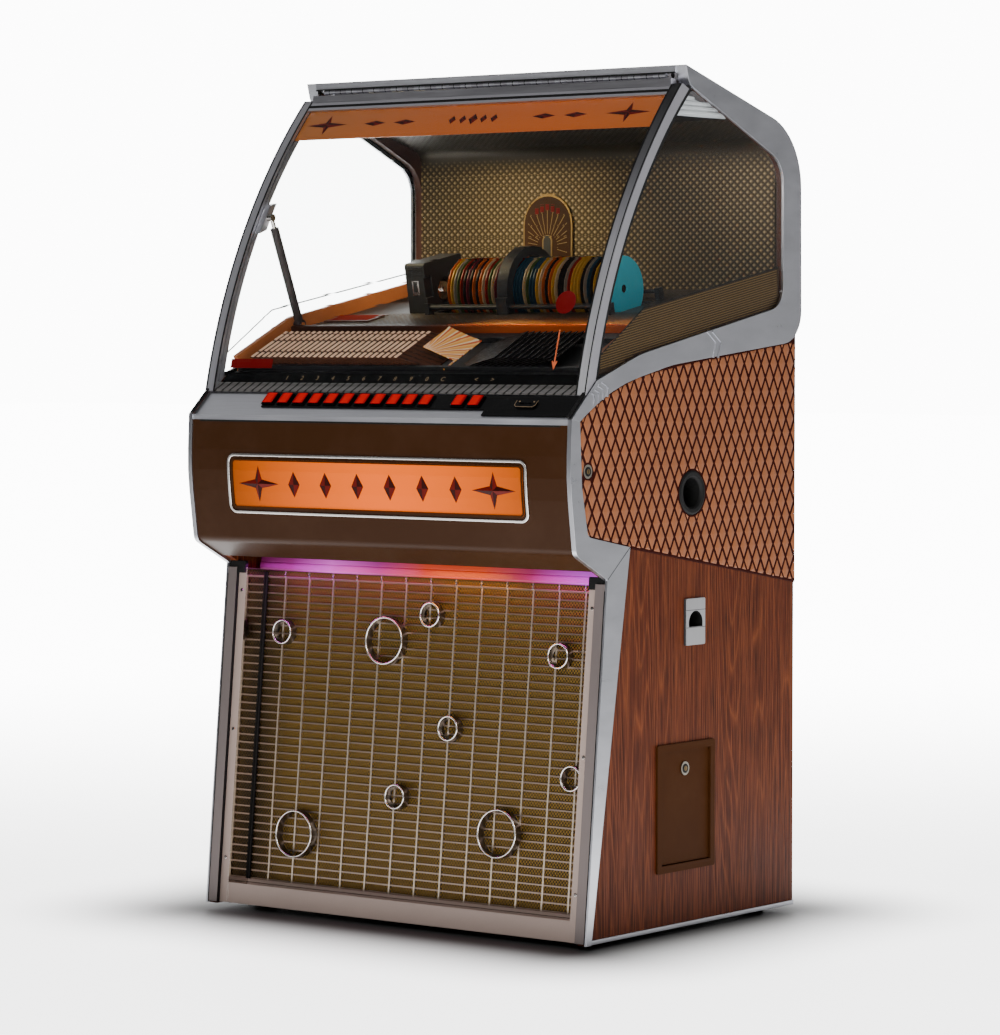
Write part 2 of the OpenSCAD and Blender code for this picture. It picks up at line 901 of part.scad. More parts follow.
// Brown nose panel that wraps under the nose
under_end = 0.72;
nose_panel_path = rounded([
  mix(nose_low, knee, under_end),
  [each nose_low, nose_low_r],
  [each nose_mid, nose_swell_r],
  lip_point
], false);
module nose_panel() {
  color(brown)
    along_x(-x_lip, x_lip)
      band(nose_panel_path, nose_recess, nose_recess + nose_t);
}
// Part of the swell that lies behind the bezel
module nose_skin(d0, d1, half_w, h, r) {
  intersection() {
    along_x(-half_w, half_w)
      band(nose_panel_path, d0, d1);
    along_y(y_front - 20, y_front + 40)
      translate([0, bezel_z])
        round_plate(2 * half_w, h, r);
  }
}
plate_t = 1;
module name_plate() {
  color(amber)
    nose_skin(nose_recess - plate_t, nose_recess, bezel_half - bezel_rim - plate_gap,
      bezel_h - 2 * (bezel_rim + plate_gap), bezel_r - bezel_rim - plate_gap / 2);
}
module plate_bezel() {
  color(bright)
    difference() {
      nose_skin(0, nose_recess, bezel_half, bezel_h, bezel_r);
      along_y(y_front - 20, y_front + 40)
        translate([0, bezel_z])
          round_plate(2 * (bezel_half - bezel_rim), bezel_h - 2 * bezel_rim, bezel_r - bezel_rim);
    }
}
// Light rail over the grille, and the soffit that runs from it to the nose
light_h = 16;
light_d = 20;
x_return = x_face - 2 * jamb_face - jamb_t;
soffit_t = 2;
soffit_rear = knee + [38, 13];
module light_rail() {
  color(black)
    along_x(-x_in, x_in)
      band([shifted(nose_panel_path, nose_recess + nose_t)[0], soffit_rear], 0, soffit_t);
  color(amber)
    on_lean()
      along_x(-x_return, x_return)
        polygon(rounded([
          [grille_d - light_d, grille_z1 + 3, 4],
          [grille_d + grille_t, grille_z1 + 3],
          [grille_d + grille_t, grille_z1 + 3 + light_h],
          [grille_d - light_d, grille_z1 + 3 + light_h, 4]
        ]));
}
// Stepped jambs with their returns, and the kick plate between them
surround_z0 = foot_h + 3;
surround_z1 = knee_z - 4;
x_jamb = x_face - jamb_face;
kick_set = 2;
module grille_surround() {
  color(steel) {
    on_lean()
      both_sides()
        translate([0, 0, surround_z0])
          linear_extrude(surround_z1 - surround_z0)
            polygon([
              [x_face, 0], [x_jamb - jamb_t, 0], [x_jamb - jamb_t, jamb_step],
              [x_return, jamb_step], [x_return, grille_d + grille_t],
              [x_return + jamb_t, grille_d + grille_t], [x_return + jamb_t, jamb_step + jamb_t],
              [x_jamb, jamb_step + jamb_t], [x_jamb, lip_d], [x_face, lip_d]
            ]);
    on_lean()
      along_x(-x_return, x_return)
        polygon([
          [jamb_step + kick_set, surround_z0], [jamb_step + kick_set, kick_h],
          [grille_d, kick_h], [grille_d, kick_h - jamb_t],
          [jamb_step + kick_set + jamb_t, kick_h - jamb_t], [jamb_step + kick_set + jamb_t, surround_z0]
        ]);
  }
}
// Ladder grille: one pressed sheet with a field of slots
upright_count = 2 * floor((x_return - 14) / upright_pitch) + 1;
cross_count = floor((grille_z1 - grille_z0 - cross_h) / cross_pitch);
module grille() {
  upright_x0 = -(upright_count - 1) / 2 * upright_pitch;
  slot_h = cross_pitch - cross_h;
  color(bright)
    on_lean()
      along_y(grille_d, grille_d + grille_t)
        difference() {
          translate([-x_return, grille_z0])
            square([2 * x_return, grille_z1 - grille_z0]);
          for (i = [-1 : upright_count - 1], k = [0 : cross_count - 1]) {
            x0 = max(upright_x0 + i * upright_pitch, -x_return) + upright_w / 2;
            x1 = min(upright_x0 + (i + 1) * upright_pitch, x_return) - upright_w / 2;
            translate([x0, grille_z0 + cross_h + k * cross_pitch])
              square([x1 - x0, slot_h]);
          }
        }
}
mesh_t = 1.5;
module grille_mesh() {
  color(gold)
    on_lean()
      block([-x_return, grille_d + grille_t, grille_z0],
        [x_return, grille_d + grille_t + mesh_t, grille_z1]);
}
module grille_rings() {
  color(bright)
    on_lean()
      for (r = rings)
        translate([r[0], grille_d, r[1]])
          rotate([90, 0, 0])
            difference() {
              cylinder(h = ring_d, r = r[2] ? ring_large : ring_small);
              translate([0, 0, -cut])
                cylinder(h = ring_d + 2 * cut, r = (r[2] ? ring_large : ring_small) - ring_wall);
            }
}
// Loudspeaker board behind the mesh, with a pair of woofers and a pair of tweeters
baffle_t = 16;
woofer_r = 125;
driver_x = 0.46 * x_in;
woofer_z = grille_z0 + woofer_r + 19;
tweeter_z = grille_z1 - 142;
tweeter_r = 45;
baffle_y = grille_d + grille_t + mesh_t + 18;
module driver(r, deep) {
  rotate([-90, 0, 0])
    rotate_extrude()
      polygon([
        [0, 0.25 * deep], [0.3 * r, 0.2 * deep], [0.85 * r, 0], [r, 0], [r, 4],
        [0.9 * r, 4], [0.5 * r, 0.7 * deep], [0.5 * r, deep], [0, deep]
      ]);
}
module speaker_baffle() {
  color(black)
    on_lean() {
      difference() {
        block([-x_in, baffle_y, grille_z0], [x_in, baffle_y + baffle_t, grille_z1]);
        for (x = [-1, 1]) {
          translate([x * driver_x, baffle_y - cut, woofer_z])
            rotate([-90, 0, 0])
              cylinder(h = baffle_t + 2 * cut, r = 0.92 * woofer_r);
          translate([x * driver_x, baffle_y - cut, tweeter_z])
            rotate([-90, 0, 0])
              cylinder(h = baffle_t + 2 * cut, r = 0.92 * tweeter_r);
        }
      }
      for (x = [-1, 1]) {
        translate([x * driver_x, baffle_y - 4, woofer_z])
          driver(woofer_r, 105);
        translate([x * driver_x, baffle_y - 4, tweeter_z])
          driver(tweeter_r, 40);
      }
    }
}
// Amplifier on the base, with the mains inlet in the rear panel's cut-out
amp = [300, 150, 120];
module amplifier() {
  color(black)
    translate([0, y_back - rear_t, foot_h + board_t]) {
      block([-amp[0] / 2, -amp[1], 0], [amp[0] / 2, 0, amp[2]]);
      difference() {
        block([-inlet_w / 2 + 1, -cut, inlet_z - inlet_h / 2 + 1 - foot_h - board_t],
          [inlet_w / 2 - 1, rear_t + 2, inlet_z + inlet_h / 2 - 1 - foot_h - board_t]);
        block([-14, rear_t - 16, inlet_z - 11 - foot_h - board_t],
          [14, rear_t + 2 + cut, inlet_z + 9 - foot_h - board_t]);
      }
    }
}
// Open-fronted cash box behind the cash door
cash_d = 150;
cash_wall = 1.5;
module cash_box() {
  color(steel)
    difference() {
      block([x_in - cash_d, door_hole_y0, foot_h + board_t], [x_in - 2, door_hole_y1, door_hole_z0 + 120]);
      block([x_in - cash_d + cash_wall, door_hole_y0 + cash_wall, door_hole_z0 + 8],
        [x_in, door_hole_y1 - cash_wall, door_hole_z0 + 120 + cut]);
    }
}
module cash_door_frame() {
  color(brown)
    difference() {
      union() {
        translate([x_face, door_y, door_z + door_h / 2])
          rotate([90, 0, 90])
            linear_extrude(trim_t - 1)
              round_plate(door_w, door_h, 4);
        block([x_in, door_hole_y0 - door_sleeve, door_hole_z0 - door_sleeve],
          [x_face, door_hole_y1 + door_sleeve, door_hole_z1 + door_sleeve]);
      }
      block([x_in - cut, door_hole_y0, door_hole_z0], [x_out, door_hole_y1, door_hole_z1]);
      translate([x_door - door_t / 2, door_hole_y0 - door_sleeve + 0.5, door_hole_z0 + door_pin_up])
        rotate([-90, 0, 0])
          cylinder(h = door_hole_y1 - door_hole_y0 + 2 * door_sleeve - 1, r = door_pin_r + run_fit);
    }
}
module cash_door() {
  color(brown) {
    difference() {
      block([x_door - door_t, door_hole_y0 + move_gap, door_hole_z0 + door_gap],
        [x_door, door_hole_y1 - move_gap, door_hole_z1 - move_gap]);
      rod([x_door - door_t - cut, door_y, cash_lock_z], lock_r + run_fit, door_t + 2 * cut);
    }
    translate([x_door - door_t / 2, door_hole_y0 - door_sleeve + 1, door_hole_z0 + door_pin_up])
      rotate([-90, 0, 0])
        cylinder(h = door_hole_y1 - door_hole_y0 + 2 * door_sleeve - 2, r = door_pin_r);
  }
}
// Lock barrel with a key slot in its face and a cam behind the panel
module lock(y, z, face, back, cam) {
  difference() {
    union() {
      rod([back, y, z], lock_r, face - back);
      rod([face - 2, y, z], lock_r + 3, 2);
      block([back - 3, y - 6, z - 6], [back, y + cam, z + 6]);
    }
    block([face - 4, y - 1, z - 5], [face + cut, y + 1, z + 5]);
  }
}
module cash_lock() {
  color(bright)
    lock(door_y, cash_lock_z, x_door + 2 + seat_gap, x_door - door_t - 6, 24);
}
module side_lock() {
  color(bright)
    lock(side_lock_y, side_lock_z, x_face + seat_gap + 2, x_in - 6, 24);
}
// Coin return plate with an arched mouth and the cup behind it
module mouth() {
  intersection() {
    translate([-mouth_r, 0])
      square([mouth_w, mouth_h]);
    union() {
      translate([0, mouth_h - mouth_r])
        circle(r = mouth_r);
      translate([-mouth_r, 0])
        square([mouth_w, mouth_h - mouth_r]);
    }
  }
}
module coin_return() {
  color(bright)
    difference() {
      union() {
        translate([x_face, coin_y, coin_mid_z])
          rotate([90, 0, 90])
            linear_extrude(trim_t - 1)
              round_plate(coin_w, coin_h, 3);
        block([x_face - cup_d - cup_wall, coin_y - cup_half + seat_gap, mouth_z - cup_wall + seat_gap],
          [x_face, coin_y + cup_half - seat_gap, mouth_z + mouth_h + cup_wall - seat_gap]);
      }
      translate([x_face - 2, coin_y, mouth_z])
        rotate([90, 0, 90])
          linear_extrude(trim_t + 2)
            mouth();
      block([x_face - cup_d, coin_y - mouth_r, mouth_z], [x_face - 1, coin_y + mouth_r, mouth_z + mouth_h]);
    }
}
// Round grip cups in the sides
module grip_cups() {
  color(black)
    both_sides()
      translate([x_face, grip_y, grip_z])
        rotate([0, 90, 0])
          rotate_extrude()
            polygon([
              [0, -grip_d], [grip_r - 6 - seat_gap, -grip_d], [grip_r - 6 - seat_gap, 0], [grip_r, 0],
              [grip_r - 1, 3], [grip_r - 4, 4.5], [grip_r - 10, 4], [grip_r - 13, 0],
              [grip_r - 14, -grip_d + 3], [0, -grip_d + 3]
            ]);
}
// Player housing with the recess where a disc is clamped
player_u0 = row_u - 58;
player_u1 = row_u + 58;
recess_d = 14;
shaft_r = 4;
module player_housing() {
  color(black)
    on_deck()
      difference() {
        translate([player_x, 0, 0])
          rotate([90, 0, 90])
            translate([0, 0, -player_w])
              linear_extrude(player_w)
                polygon(rounded([
                  [player_u0, 0], [player_u1, 0], [player_u1, player_h, 6], [player_u0, player_h, 6]
                ]));
        rod([player_x - recess_d, row_u, row_h], 24, recess_d + cut);
        rod([player_x - player_w + 8, row_u, row_h], shaft_r + run_fit, player_w);
        block([player_x - 3, player_u0 - cut, row_h - 4], [player_x + cut, player_u0 + 20, row_h + 34]);
      }
}
module disc_spindle() {
  color(bright)
    on_deck() {
      rod([player_x - player_w + 9, row_u, row_h], shaft_r, player_w - 9 - 6);
      difference() {
        union() {
          rod([player_x - 10, row_u, row_h], 17, 4);
          rod([player_x - 6, row_u, row_h], 7.3, 5);
        }
        for (a = [0 : 120 : 240])
          translate([player_x - 11, row_u + 12 * cos(a), row_h + 12 * sin(a)])
            rotate([0, 90, 0])
              cylinder(h = 6, r = 2);
      }
    }
}
// Rack: trough with a slotted bar under the discs, two guide rods on end blocks
comb_w = 12;
comb_top = row_h - disc_r + 3;
comb_slot = disc_t + 0.5;
comb_floor = row_h - disc_r - seat_gap;
module comb_outline() {
  low = -trough_d + trough_wall / 2;
  polygon(concat(
    [[rack_x1, low], [rack_x0, low], [rack_x0, comb_top]],
    [
      for (i = [0 : disc_count - 1])
        let (c = disc_x + i * disc_pitch)
        each [
          [c - comb_slot / 2, comb_top], [c - comb_slot / 2, comb_floor],
          [c + comb_slot / 2, comb_floor], [c + comb_slot / 2, comb_top]
        ]
    ],
    [[rack_x1, comb_top]]
  ));
}
module disc_rack() {
  color(black)
    on_deck() {
      along_x(-x_deck, x_deck)
        polygon([
          [row_u - trough_half - trough_wall, 0], [row_u - trough_half - trough_wall, -trough_d],
          [row_u + trough_half + trough_wall, -trough_d], [row_u + trough_half + trough_wall, 0],
          [row_u + trough_half, 0], [row_u + trough_half, -trough_d + trough_wall],
          [row_u - trough_half, -trough_d + trough_wall], [row_u - trough_half, 0]
        ]);
      translate([0, row_u + comb_w / 2, 0])
        rotate([90, 0, 0])
          linear_extrude(comb_w)
            comb_outline();
      block([-x_deck, row_u - trough_half, -deck_t], [rack_x0, row_u + trough_half, 0]);
      block([rack_x1, row_u - trough_half, -deck_t], [x_deck, row_u + trough_half, 0]);
      for (s = [-1, 1]) {
        rod([rack_x0, row_u + s * guide_off, guide_h], guide_r, rack_x1 - rack_x0);
        for (x = [rack_x0, rack_x1 - block_w])
          block([x, row_u + s * guide_off - 7, 0],
            [x + block_w, row_u + s * guide_off + 7, guide_h + guide_r + 3]);
      }
    }
}
module discs() {
  color("teal")
    on_deck()
      for (i = [0 : disc_count - 1])
        translate([disc_x + i * disc_pitch - disc_t / 2, row_u, row_h])
          rotate([0, 90, 0])
            difference() {
              cylinder(h = disc_t, r = disc_r);
              translate([0, 0, -cut])
                cylinder(h = disc_t + 2 * cut, r = 7.5);
            }
}
// Hoop over the disc row, running on the guide rods
foot_out = guide_off + guide_r + 5;
module pick_carriage() {
  color(black)
    on_deck()
      difference() {
        along_x(carriage_x - carriage_w / 2, carriage_x + carriage_w / 2)
          difference() {
            union() {
              translate([row_u, row_h])
                circle(r = hoop_out);
              translate([row_u - foot_out, seat_gap + 2])
                square([2 * foot_out, row_h - seat_gap - 2]);
            }
            translate([row_u, row_h])
              circle(r = hoop_in);
            translate([row_u - hoop_in, -hoop_out])
              square([2 * hoop_in, hoop_out + row_h]);
            translate([row_u - 2 * hoop_out, -2 * hoop_out])
              square([4 * hoop_out, 2 * hoop_out + seat_gap + 2]);
          }
        for (s = [-1, 1])
          rod([carriage_x - carriage_w, row_u + s * guide_off, guide_h], guide_r + run_fit, 2 * carriage_w);
      }
}
// Stacks of title pages that lean to the left and to the right
module page(x, lean, w, u0, u1) {
  translate([x, u0, seat_gap])
    rotate([0, lean, 0])
      translate([lean > 0 ? -w : 0, 0, 0])
        cube([w, u1 - u0, page_t]);
}
module title_pages() {
  color("wheat")
    on_title() {
      for (i = [0 : left_pages - 1])
        page(left_x + i * page_pitch, page_lean, page_w, page_u0, page_u1);
      for (i = [0 : right_pages - 1])
        page(right_x + i * page_pitch, -page_lean, page_w, page_u0, page_u1);
    }
}
module turning_page() {
  color("orange")
    on_title()
      translate([turn_x, 0, turn_pivot_h]) {
        rotate([0, turn_lean, 0])
          block([-turn_w, turn_u0, -page_t / 2], [0, page_u1 - 1, page_t / 2]);
        translate([0, page_u0 - page_rail_w - seat_gap, 0])
          rotate([-90, 0, 0])
            cylinder(h = page_u1 - page_u0 + 2 * (page_rail_w + seat_gap), r = door_pin_r);
      }
}
// Lid: frame with its hinge knuckles and stay bracket, curved glass, header strip
module lid_frame() {
  color(bright)
    difference() {
      union() {
        both_sides()
          along_x(x_arm_in, x_arm_out)
            lid_slice(0, 1, 0, 1);
        along_x(-x_arm_in, x_arm_in) {
          lid_slice(0, low_rail_k, 0, lid_t0);
          lid_slice(0, 1, lid_t1, 1);
          polygon([
            roof_front + [-10, -24], roof_front + [4, -24], roof_front + [12, -40], roof_front + [-14, -40]
          ]);
        }
        knuckles(true) {
          knuckle();
          block([0, hinge[0] - leaf_t / 2, hinge[1] - knuckle_r - 6],
            [knuckle_pitch - knuckle_gap, hinge[0] + leaf_t / 2, hinge[1]]);
        }
        along_x(-x_arm_in - cut, -x_arm_in + stay_bracket_t - cut)
          lid_slice(0.6, 1.35, stay_t - 0.05, stay_t + 0.05);
      }
      rod([-x_out, hinge[0], hinge[1]], pin_r + run_fit, cab_w);
    }
}
module lid_glass() {
  color(clear)
    along_x(-x_arm_in, x_arm_in)
      lid_slice(glass_k0, glass_k1, lid_t0, lid_t1);
}
module header_strip() {
  color(amber)
    along_x(-x_arm_in, x_arm_in)
      lid_slice(header_k0, header_k1, lid_t1 - header_h / lid_len, lid_t1);
}
// Telescopic stay: tube on the deck's pin, rod that reaches the lid's bracket
module stay_tube() {
  color(black)
    difference() {
      union() {
        rod([x_stay - stay_r, stay_low[0], stay_low[1]], stay_r + 1, 2 * stay_r);
        on_stay()
          cylinder(h = tube_len, r = stay_r);
      }
      rod([x_stay - 2 * stay_r, stay_low[0], stay_low[1]], rod_r + run_fit, 4 * stay_r);
      on_stay()
        translate([0, 0, rod_inside - 6])
          cylinder(h = tube_len, r = rod_r + run_fit);
    }
}
module stay_rod() {
  x_eye = -x_arm_in + stay_bracket_t - cut + move_gap;
  color(steel) {
    on_stay()
      translate([0, 0, rod_inside])
        cylinder(h = stay_len - rod_inside, r = rod_r);
    rod([x_eye, stay_high[0], stay_high[1]], rod_eye_r, x_stay + rod_r - x_eye);
  }
}

side_board_left();
side_board_right();
base_board();
rear_panel();
roof_shell();
roof_rail();
hood_trims();
front_trims();
side_pads();
glide_feet();
side_windows();
inner_boards();
back_wall();
mech_deck();
title_deck();
number_strip();
fascia();
selector_panel();
nose_panel();
name_plate();
plate_bezel();
light_rail();
grille_surround();
grille();
grille_mesh();
grille_rings();
speaker_baffle();
amplifier();
cash_box();
cash_door_frame();
coin_return();
grip_cups();
player_housing();
disc_rack();
discs();
title_pages();
lid_frame();
lid_glass();
header_strip();
stay_tube();
stay_rod();
cash_door();
cash_lock();
side_lock();
pick_carriage();
disc_spindle();
turning_page();
button(0);  // button_1
button(1);  // button_2
button(2);  // button_3
button(3);  // button_4
button(4);  // button_5
button(5);  // button_6
button(6);  // button_7
button(7);  // button_8
button(8);  // button_9
button(9);  // button_10
button(10);  // button_11
button(11);  // button_12
button(12);  // button_13
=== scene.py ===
"""Finish, trim and stage for a floor-standing cd jukebox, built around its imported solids."""

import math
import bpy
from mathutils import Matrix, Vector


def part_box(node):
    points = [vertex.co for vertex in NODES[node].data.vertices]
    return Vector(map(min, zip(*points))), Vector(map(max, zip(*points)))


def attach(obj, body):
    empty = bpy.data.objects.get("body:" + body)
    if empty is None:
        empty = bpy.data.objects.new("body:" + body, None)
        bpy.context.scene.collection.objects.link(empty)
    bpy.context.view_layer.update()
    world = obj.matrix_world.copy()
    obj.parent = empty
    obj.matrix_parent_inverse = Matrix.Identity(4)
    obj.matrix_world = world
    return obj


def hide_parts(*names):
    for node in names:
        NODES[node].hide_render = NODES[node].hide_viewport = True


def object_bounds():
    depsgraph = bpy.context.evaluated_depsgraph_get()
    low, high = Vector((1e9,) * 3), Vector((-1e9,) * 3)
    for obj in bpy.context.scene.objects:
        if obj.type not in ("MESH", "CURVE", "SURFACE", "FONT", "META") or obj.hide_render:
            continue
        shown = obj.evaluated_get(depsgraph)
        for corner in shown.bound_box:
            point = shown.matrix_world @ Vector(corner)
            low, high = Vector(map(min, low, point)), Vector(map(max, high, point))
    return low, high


bl_info = {
    "name": "CD jukebox finish",
    "version": (1, 0, 0),
    "blender": (4, 5, 0),
    "location": "View3D > Sidebar > Jukebox",
    "description": "Dresses the packed solids of a cd jukebox with trim, padding and materials",
    "category": "Object",
}

import bmesh
import bpy
from mathutils import Matrix, Vector

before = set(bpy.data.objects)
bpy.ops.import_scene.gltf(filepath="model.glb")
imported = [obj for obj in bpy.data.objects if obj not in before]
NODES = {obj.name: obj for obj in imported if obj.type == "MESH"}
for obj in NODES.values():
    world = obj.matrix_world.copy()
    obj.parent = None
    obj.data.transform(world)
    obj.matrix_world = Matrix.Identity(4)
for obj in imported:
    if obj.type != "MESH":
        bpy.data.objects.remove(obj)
CAD_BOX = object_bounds()
CABINET = "cabinet"
LID = "lid"
BUTTONS = [f"button_{i}" for i in range(1, 14)]


def srgb(red, green, blue):
    """Linear colour of a screen colour given from 0 to 255."""
    return tuple(
        (c / 255 / 12.92) if c <= 10 else ((c / 255 + 0.055) / 1.055) ** 2.4
        for c in (red, green, blue)
    )


def scaled(colour, share):
    """Colour brought to a share of its strength."""
    return tuple(c * share for c in colour)


def length(title, text, default):
    return bpy.props.FloatProperty(
        name=title, description=text, default=default, min=0.0, unit="LENGTH", precision=4
    )


def tint(title, text, default):
    return bpy.props.FloatVectorProperty(
        name=title, description=text, default=default, size=3, min=0.0, max=1.0, subtype="COLOR"
    )


class JukeboxSizes(bpy.types.PropertyGroup):
    """Sizes of the trim that dresses the solids."""

    diamond_w: length("Diamond width", "Width of one padded diamond on the sides", 0.0268)
    diamond_h: length("Diamond height", "Height of one padded diamond on the sides", 0.0500)
    diamond_line: length("Diamond line", "Half width of the dark line between diamonds", 0.0026)
    diamond_puff: length("Diamond puff", "Rise of a diamond's centre over its edge", 0.0016)
    edge_ease: length("Edge ease", "Rounding of the edges of sheet and bar", 0.0008)
    star_span: length("Star span", "Width of the stars on the lit plate", 0.095)
    digit_h: length("Digit height", "Height of the numbers on the selector strip", 0.0100)
    bead_r: length("Bead radius", "Radius of the bead along the side panel's seam", 0.0022)
    screw_r: length("Screw radius", "Radius of the visible screw heads", 0.0042)


class JukeboxColours(bpy.types.PropertyGroup):
    """Colours of the finishes."""

    trim: tint("Trim", "Satin aluminium of the trims", srgb(186, 187, 193))
    steel: tint("Steel", "Polished steel of the jambs and rings", srgb(205, 198, 192))
    wood_dark: tint("Wood dark", "Dark grain of the veneer", srgb(30, 9, 3))
    wood_mid: tint("Wood mid", "Body of the veneer", srgb(80, 29, 8))
    wood_light: tint("Wood light", "Light grain of the veneer", srgb(120, 62, 32))
    pad: tint("Pad", "Centres of the padded diamonds", srgb(140, 84, 51))
    pad_line: tint("Pad line", "Lines between the padded diamonds", srgb(40, 6, 2))
    nose: tint("Nose", "Brown enamel of the nose", srgb(45, 22, 3))
    star: tint("Star", "Stars on the amber plates", srgb(42, 7, 4))
    gold: tint("Gold", "Embossed gold sheet", srgb(190, 162, 118))
    mesh: tint("Mesh", "Woven cloth behind the grille", srgb(140, 106, 32))
    button: tint("Button", "Push buttons", srgb(196, 0, 2))
    black: tint("Black", "Black plastic", srgb(24, 24, 26))


def sizes():
    return bpy.context.scene.jukebox_sizes


def colours():
    return bpy.context.scene.jukebox_colours


# Faces and rows that several pieces share, in metres, the same as the solids'
X_OUT = CAD_BOX[1][0]
BOARD_FACE = 0.430
OUTSIDE = 0.4295
BACK_Y = 0.333
BAY_HALF = 0.4090
GRILLE_HALF = 0.3905
GRILLE_PITCH = 0.0573
GRILLE_TOP = 0.6045
BUTTON_ROW_X = -0.262
BUTTON_PITCH = 0.036
DISC_ROW_X = -0.16365
DISC_PITCH = 0.0073
LAST_DISC_X = 0.194
PAGE_PITCH = 0.0135
PAGE_LEAN = math.radians(14)
HINGE_PITCH = 0.027
HINGE_AXIS = (-0.014, 1.502)
SEAM_FRONT = (-0.179, 0.685)
SEAM_BACK = (BACK_Y, 0.602)

# Frames of the slanted parts, in metres, the same as the solids'
NOSE_TOP = Vector((0, -0.347, 0.907))
FASCIA_TURN = math.atan2(0.065, 0.071)
TOE = Vector((0, -0.305, 0.010))
LEAN = -math.atan2(0.060, 0.621)
KINK = Vector((0, -0.095, 1.057))
DECK_TURN = math.radians(11)
TITLE_FOOT = Vector((0, -0.256, 0.981))
TITLE_TURN = math.atan2(0.076, 0.161)
STRIP_FOOT = Vector((0, -0.2852, 0.9568))
STRIP_TURN = math.atan2(0.0242, 0.0212)
PLAQUE_PLACE = Vector((-0.100, 0.2945, 1.257))
PLAYER_PLACE = Vector((-0.235, 0.1709, 0.050))


def slope(place, turn):
    """Frame with its own y axis up a slope about the x axis."""
    return Matrix.Translation(place) @ Matrix.Rotation(turn, 4, "X")


ON_FASCIA = slope(NOSE_TOP, FASCIA_TURN)
ON_LEAN = slope(TOE, LEAN) @ Matrix.Translation((0, 0, -0.010))
ON_DECK = slope(KINK, DECK_TURN)
ON_TITLE = slope(TITLE_FOOT, TITLE_TURN)


def on_side(sign, x):
    """Frame on a side of the cabinet: x runs to the back, y up and z outwards."""
    return Matrix(((0, 0, sign, sign * x), (1, 0, 0, 0), (0, 1, 0, 0), (0, 0, 0, 1)))


# Curve of the lid, as the solids have it
LID_FRONT = (Vector((-0.304895, 0.946902)), Vector((-0.025, 1.487)))
LID_REAR = (Vector((-0.277605, 0.971887)), Vector((-0.004, 1.478)))
LID_SAG = 0.041
# Depth of the header's face and the glass's face between the lid's front and rear curves
HEADER_DEPTH = 0.458
GLASS_DEPTH = 0.272


def on_lid(k, t):
    """Point of the lid's curve and its slope; k from front to rear, t from bottom to top."""
    a = LID_FRONT[0].lerp(LID_REAR[0], k)
    b = LID_FRONT[1].lerp(LID_REAR[1], k)
    chord = (b - a).length
    half = 2 * math.atan(2 * LID_SAG / chord)
    radius = chord / (2 * math.sin(half))
    along = (b - a).normalized()
    inward = Vector((along.y, -along.x))
    centre = (a + b) / 2 + inward * (radius - LID_SAG)
    w = half * (2 * t - 1)
    spot = centre - inward * (radius * math.cos(w)) + along * (radius * math.sin(w))
    run = along * math.cos(w) + inward * math.sin(w)
    return spot, math.atan2(run.y, run.x)


def lid_frame_at(k, t):
    spot, turn = on_lid(k, t)
    return slope(Vector((0, spot.x, spot.y)), turn)


# Mesh helpers


def middle_x(node):
    """Middle of a solid's width."""
    low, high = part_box(node)
    return (low.x + high.x) / 2


def finish_piece(name, bm, finishes, body, smooth=30.0, replaces=()):
    """Makes a bmesh, whose shape is already in place, a piece that rides on a body."""
    mesh = bpy.data.meshes.new(name)
    bm.to_mesh(mesh)
    bm.free()
    for finish in finishes:
        mesh.materials.append(FINISHES[finish])
    piece = bpy.data.objects.new(name, mesh)
    bpy.context.scene.collection.objects.link(piece)
    if smooth:
        mesh.shade_smooth()
        mesh.set_sharp_from_angle(angle=math.radians(smooth))
        flatten_shading(piece)
    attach(piece, body)
    if replaces:
        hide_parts(*replaces)


def flatten_shading(piece):
    """Lets the broad faces of a smooth-shaded piece rule the normals of its small ones."""
    weigh = piece.modifiers.new("broad faces", "WEIGHTED_NORMAL")
    weigh.keep_sharp = True
    weigh.weight = 90
    seen = piece.evaluated_get(bpy.context.evaluated_depsgraph_get())
    mesh = bpy.data.meshes.new_from_object(seen)
    mesh.name = piece.data.name
    piece.modifiers.clear()
    rough, piece.data = piece.data, mesh
    bpy.data.meshes.remove(rough)


def at(matrix, x=0.0, y=0.0, z=0.0):
    """Frame moved along its own axes."""
    return matrix @ Matrix.Translation((x, y, z))


def round_edges(bm, edges, width):
    """Rounds edges to a width."""
    return bmesh.ops.bevel(
        bm, geom=edges, offset=width, offset_type="OFFSET", affect="EDGES", segments=2,
        profile=0.5, material=-1, clamp_overlap=True,
    )


def raise_faces(bm, faces, step):
    """Draws faces out along a step, and returns the points that moved."""
    made = bmesh.ops.extrude_face_region(bm, geom=faces)["geom"]
    raised = [g for g in made if isinstance(g, bmesh.types.BMVert)]
    bmesh.ops.translate(bm, vec=step, verts=raised)
    return raised


def keep_faces(bm, faces):
    """Deletes all faces but these."""
    kept = set(faces)
    bmesh.ops.delete(bm, geom=[f for f in bm.faces if f not in kept], context="FACES")


def keep_rim(bm, width):
    """Leaves only a rim of a width along the border of the faces."""
    made = bmesh.ops.inset_region(
        bm, faces=bm.faces[:], thickness=width, use_boundary=True, use_even_offset=True
    )
    keep_faces(bm, made["faces"])


def mesh_of(node):
    """Bmesh of a solid's own mesh, with its doubled points merged."""
    bm = bmesh.new()
    bm.from_mesh(NODES[node].data)
    bmesh.ops.remove_doubles(bm, verts=bm.verts, dist=1e-6)
    return bm


def grown(bm, made, matrix, tone=0):
    """Places the geometry that an operator made, and gives its faces a material index."""
    verts = [v for v in made["verts"] if v.is_valid]
    bmesh.ops.transform(bm, matrix=matrix, verts=verts)
    for face in {f for v in verts for f in v.link_faces}:
        face.material_index = tone
    return verts


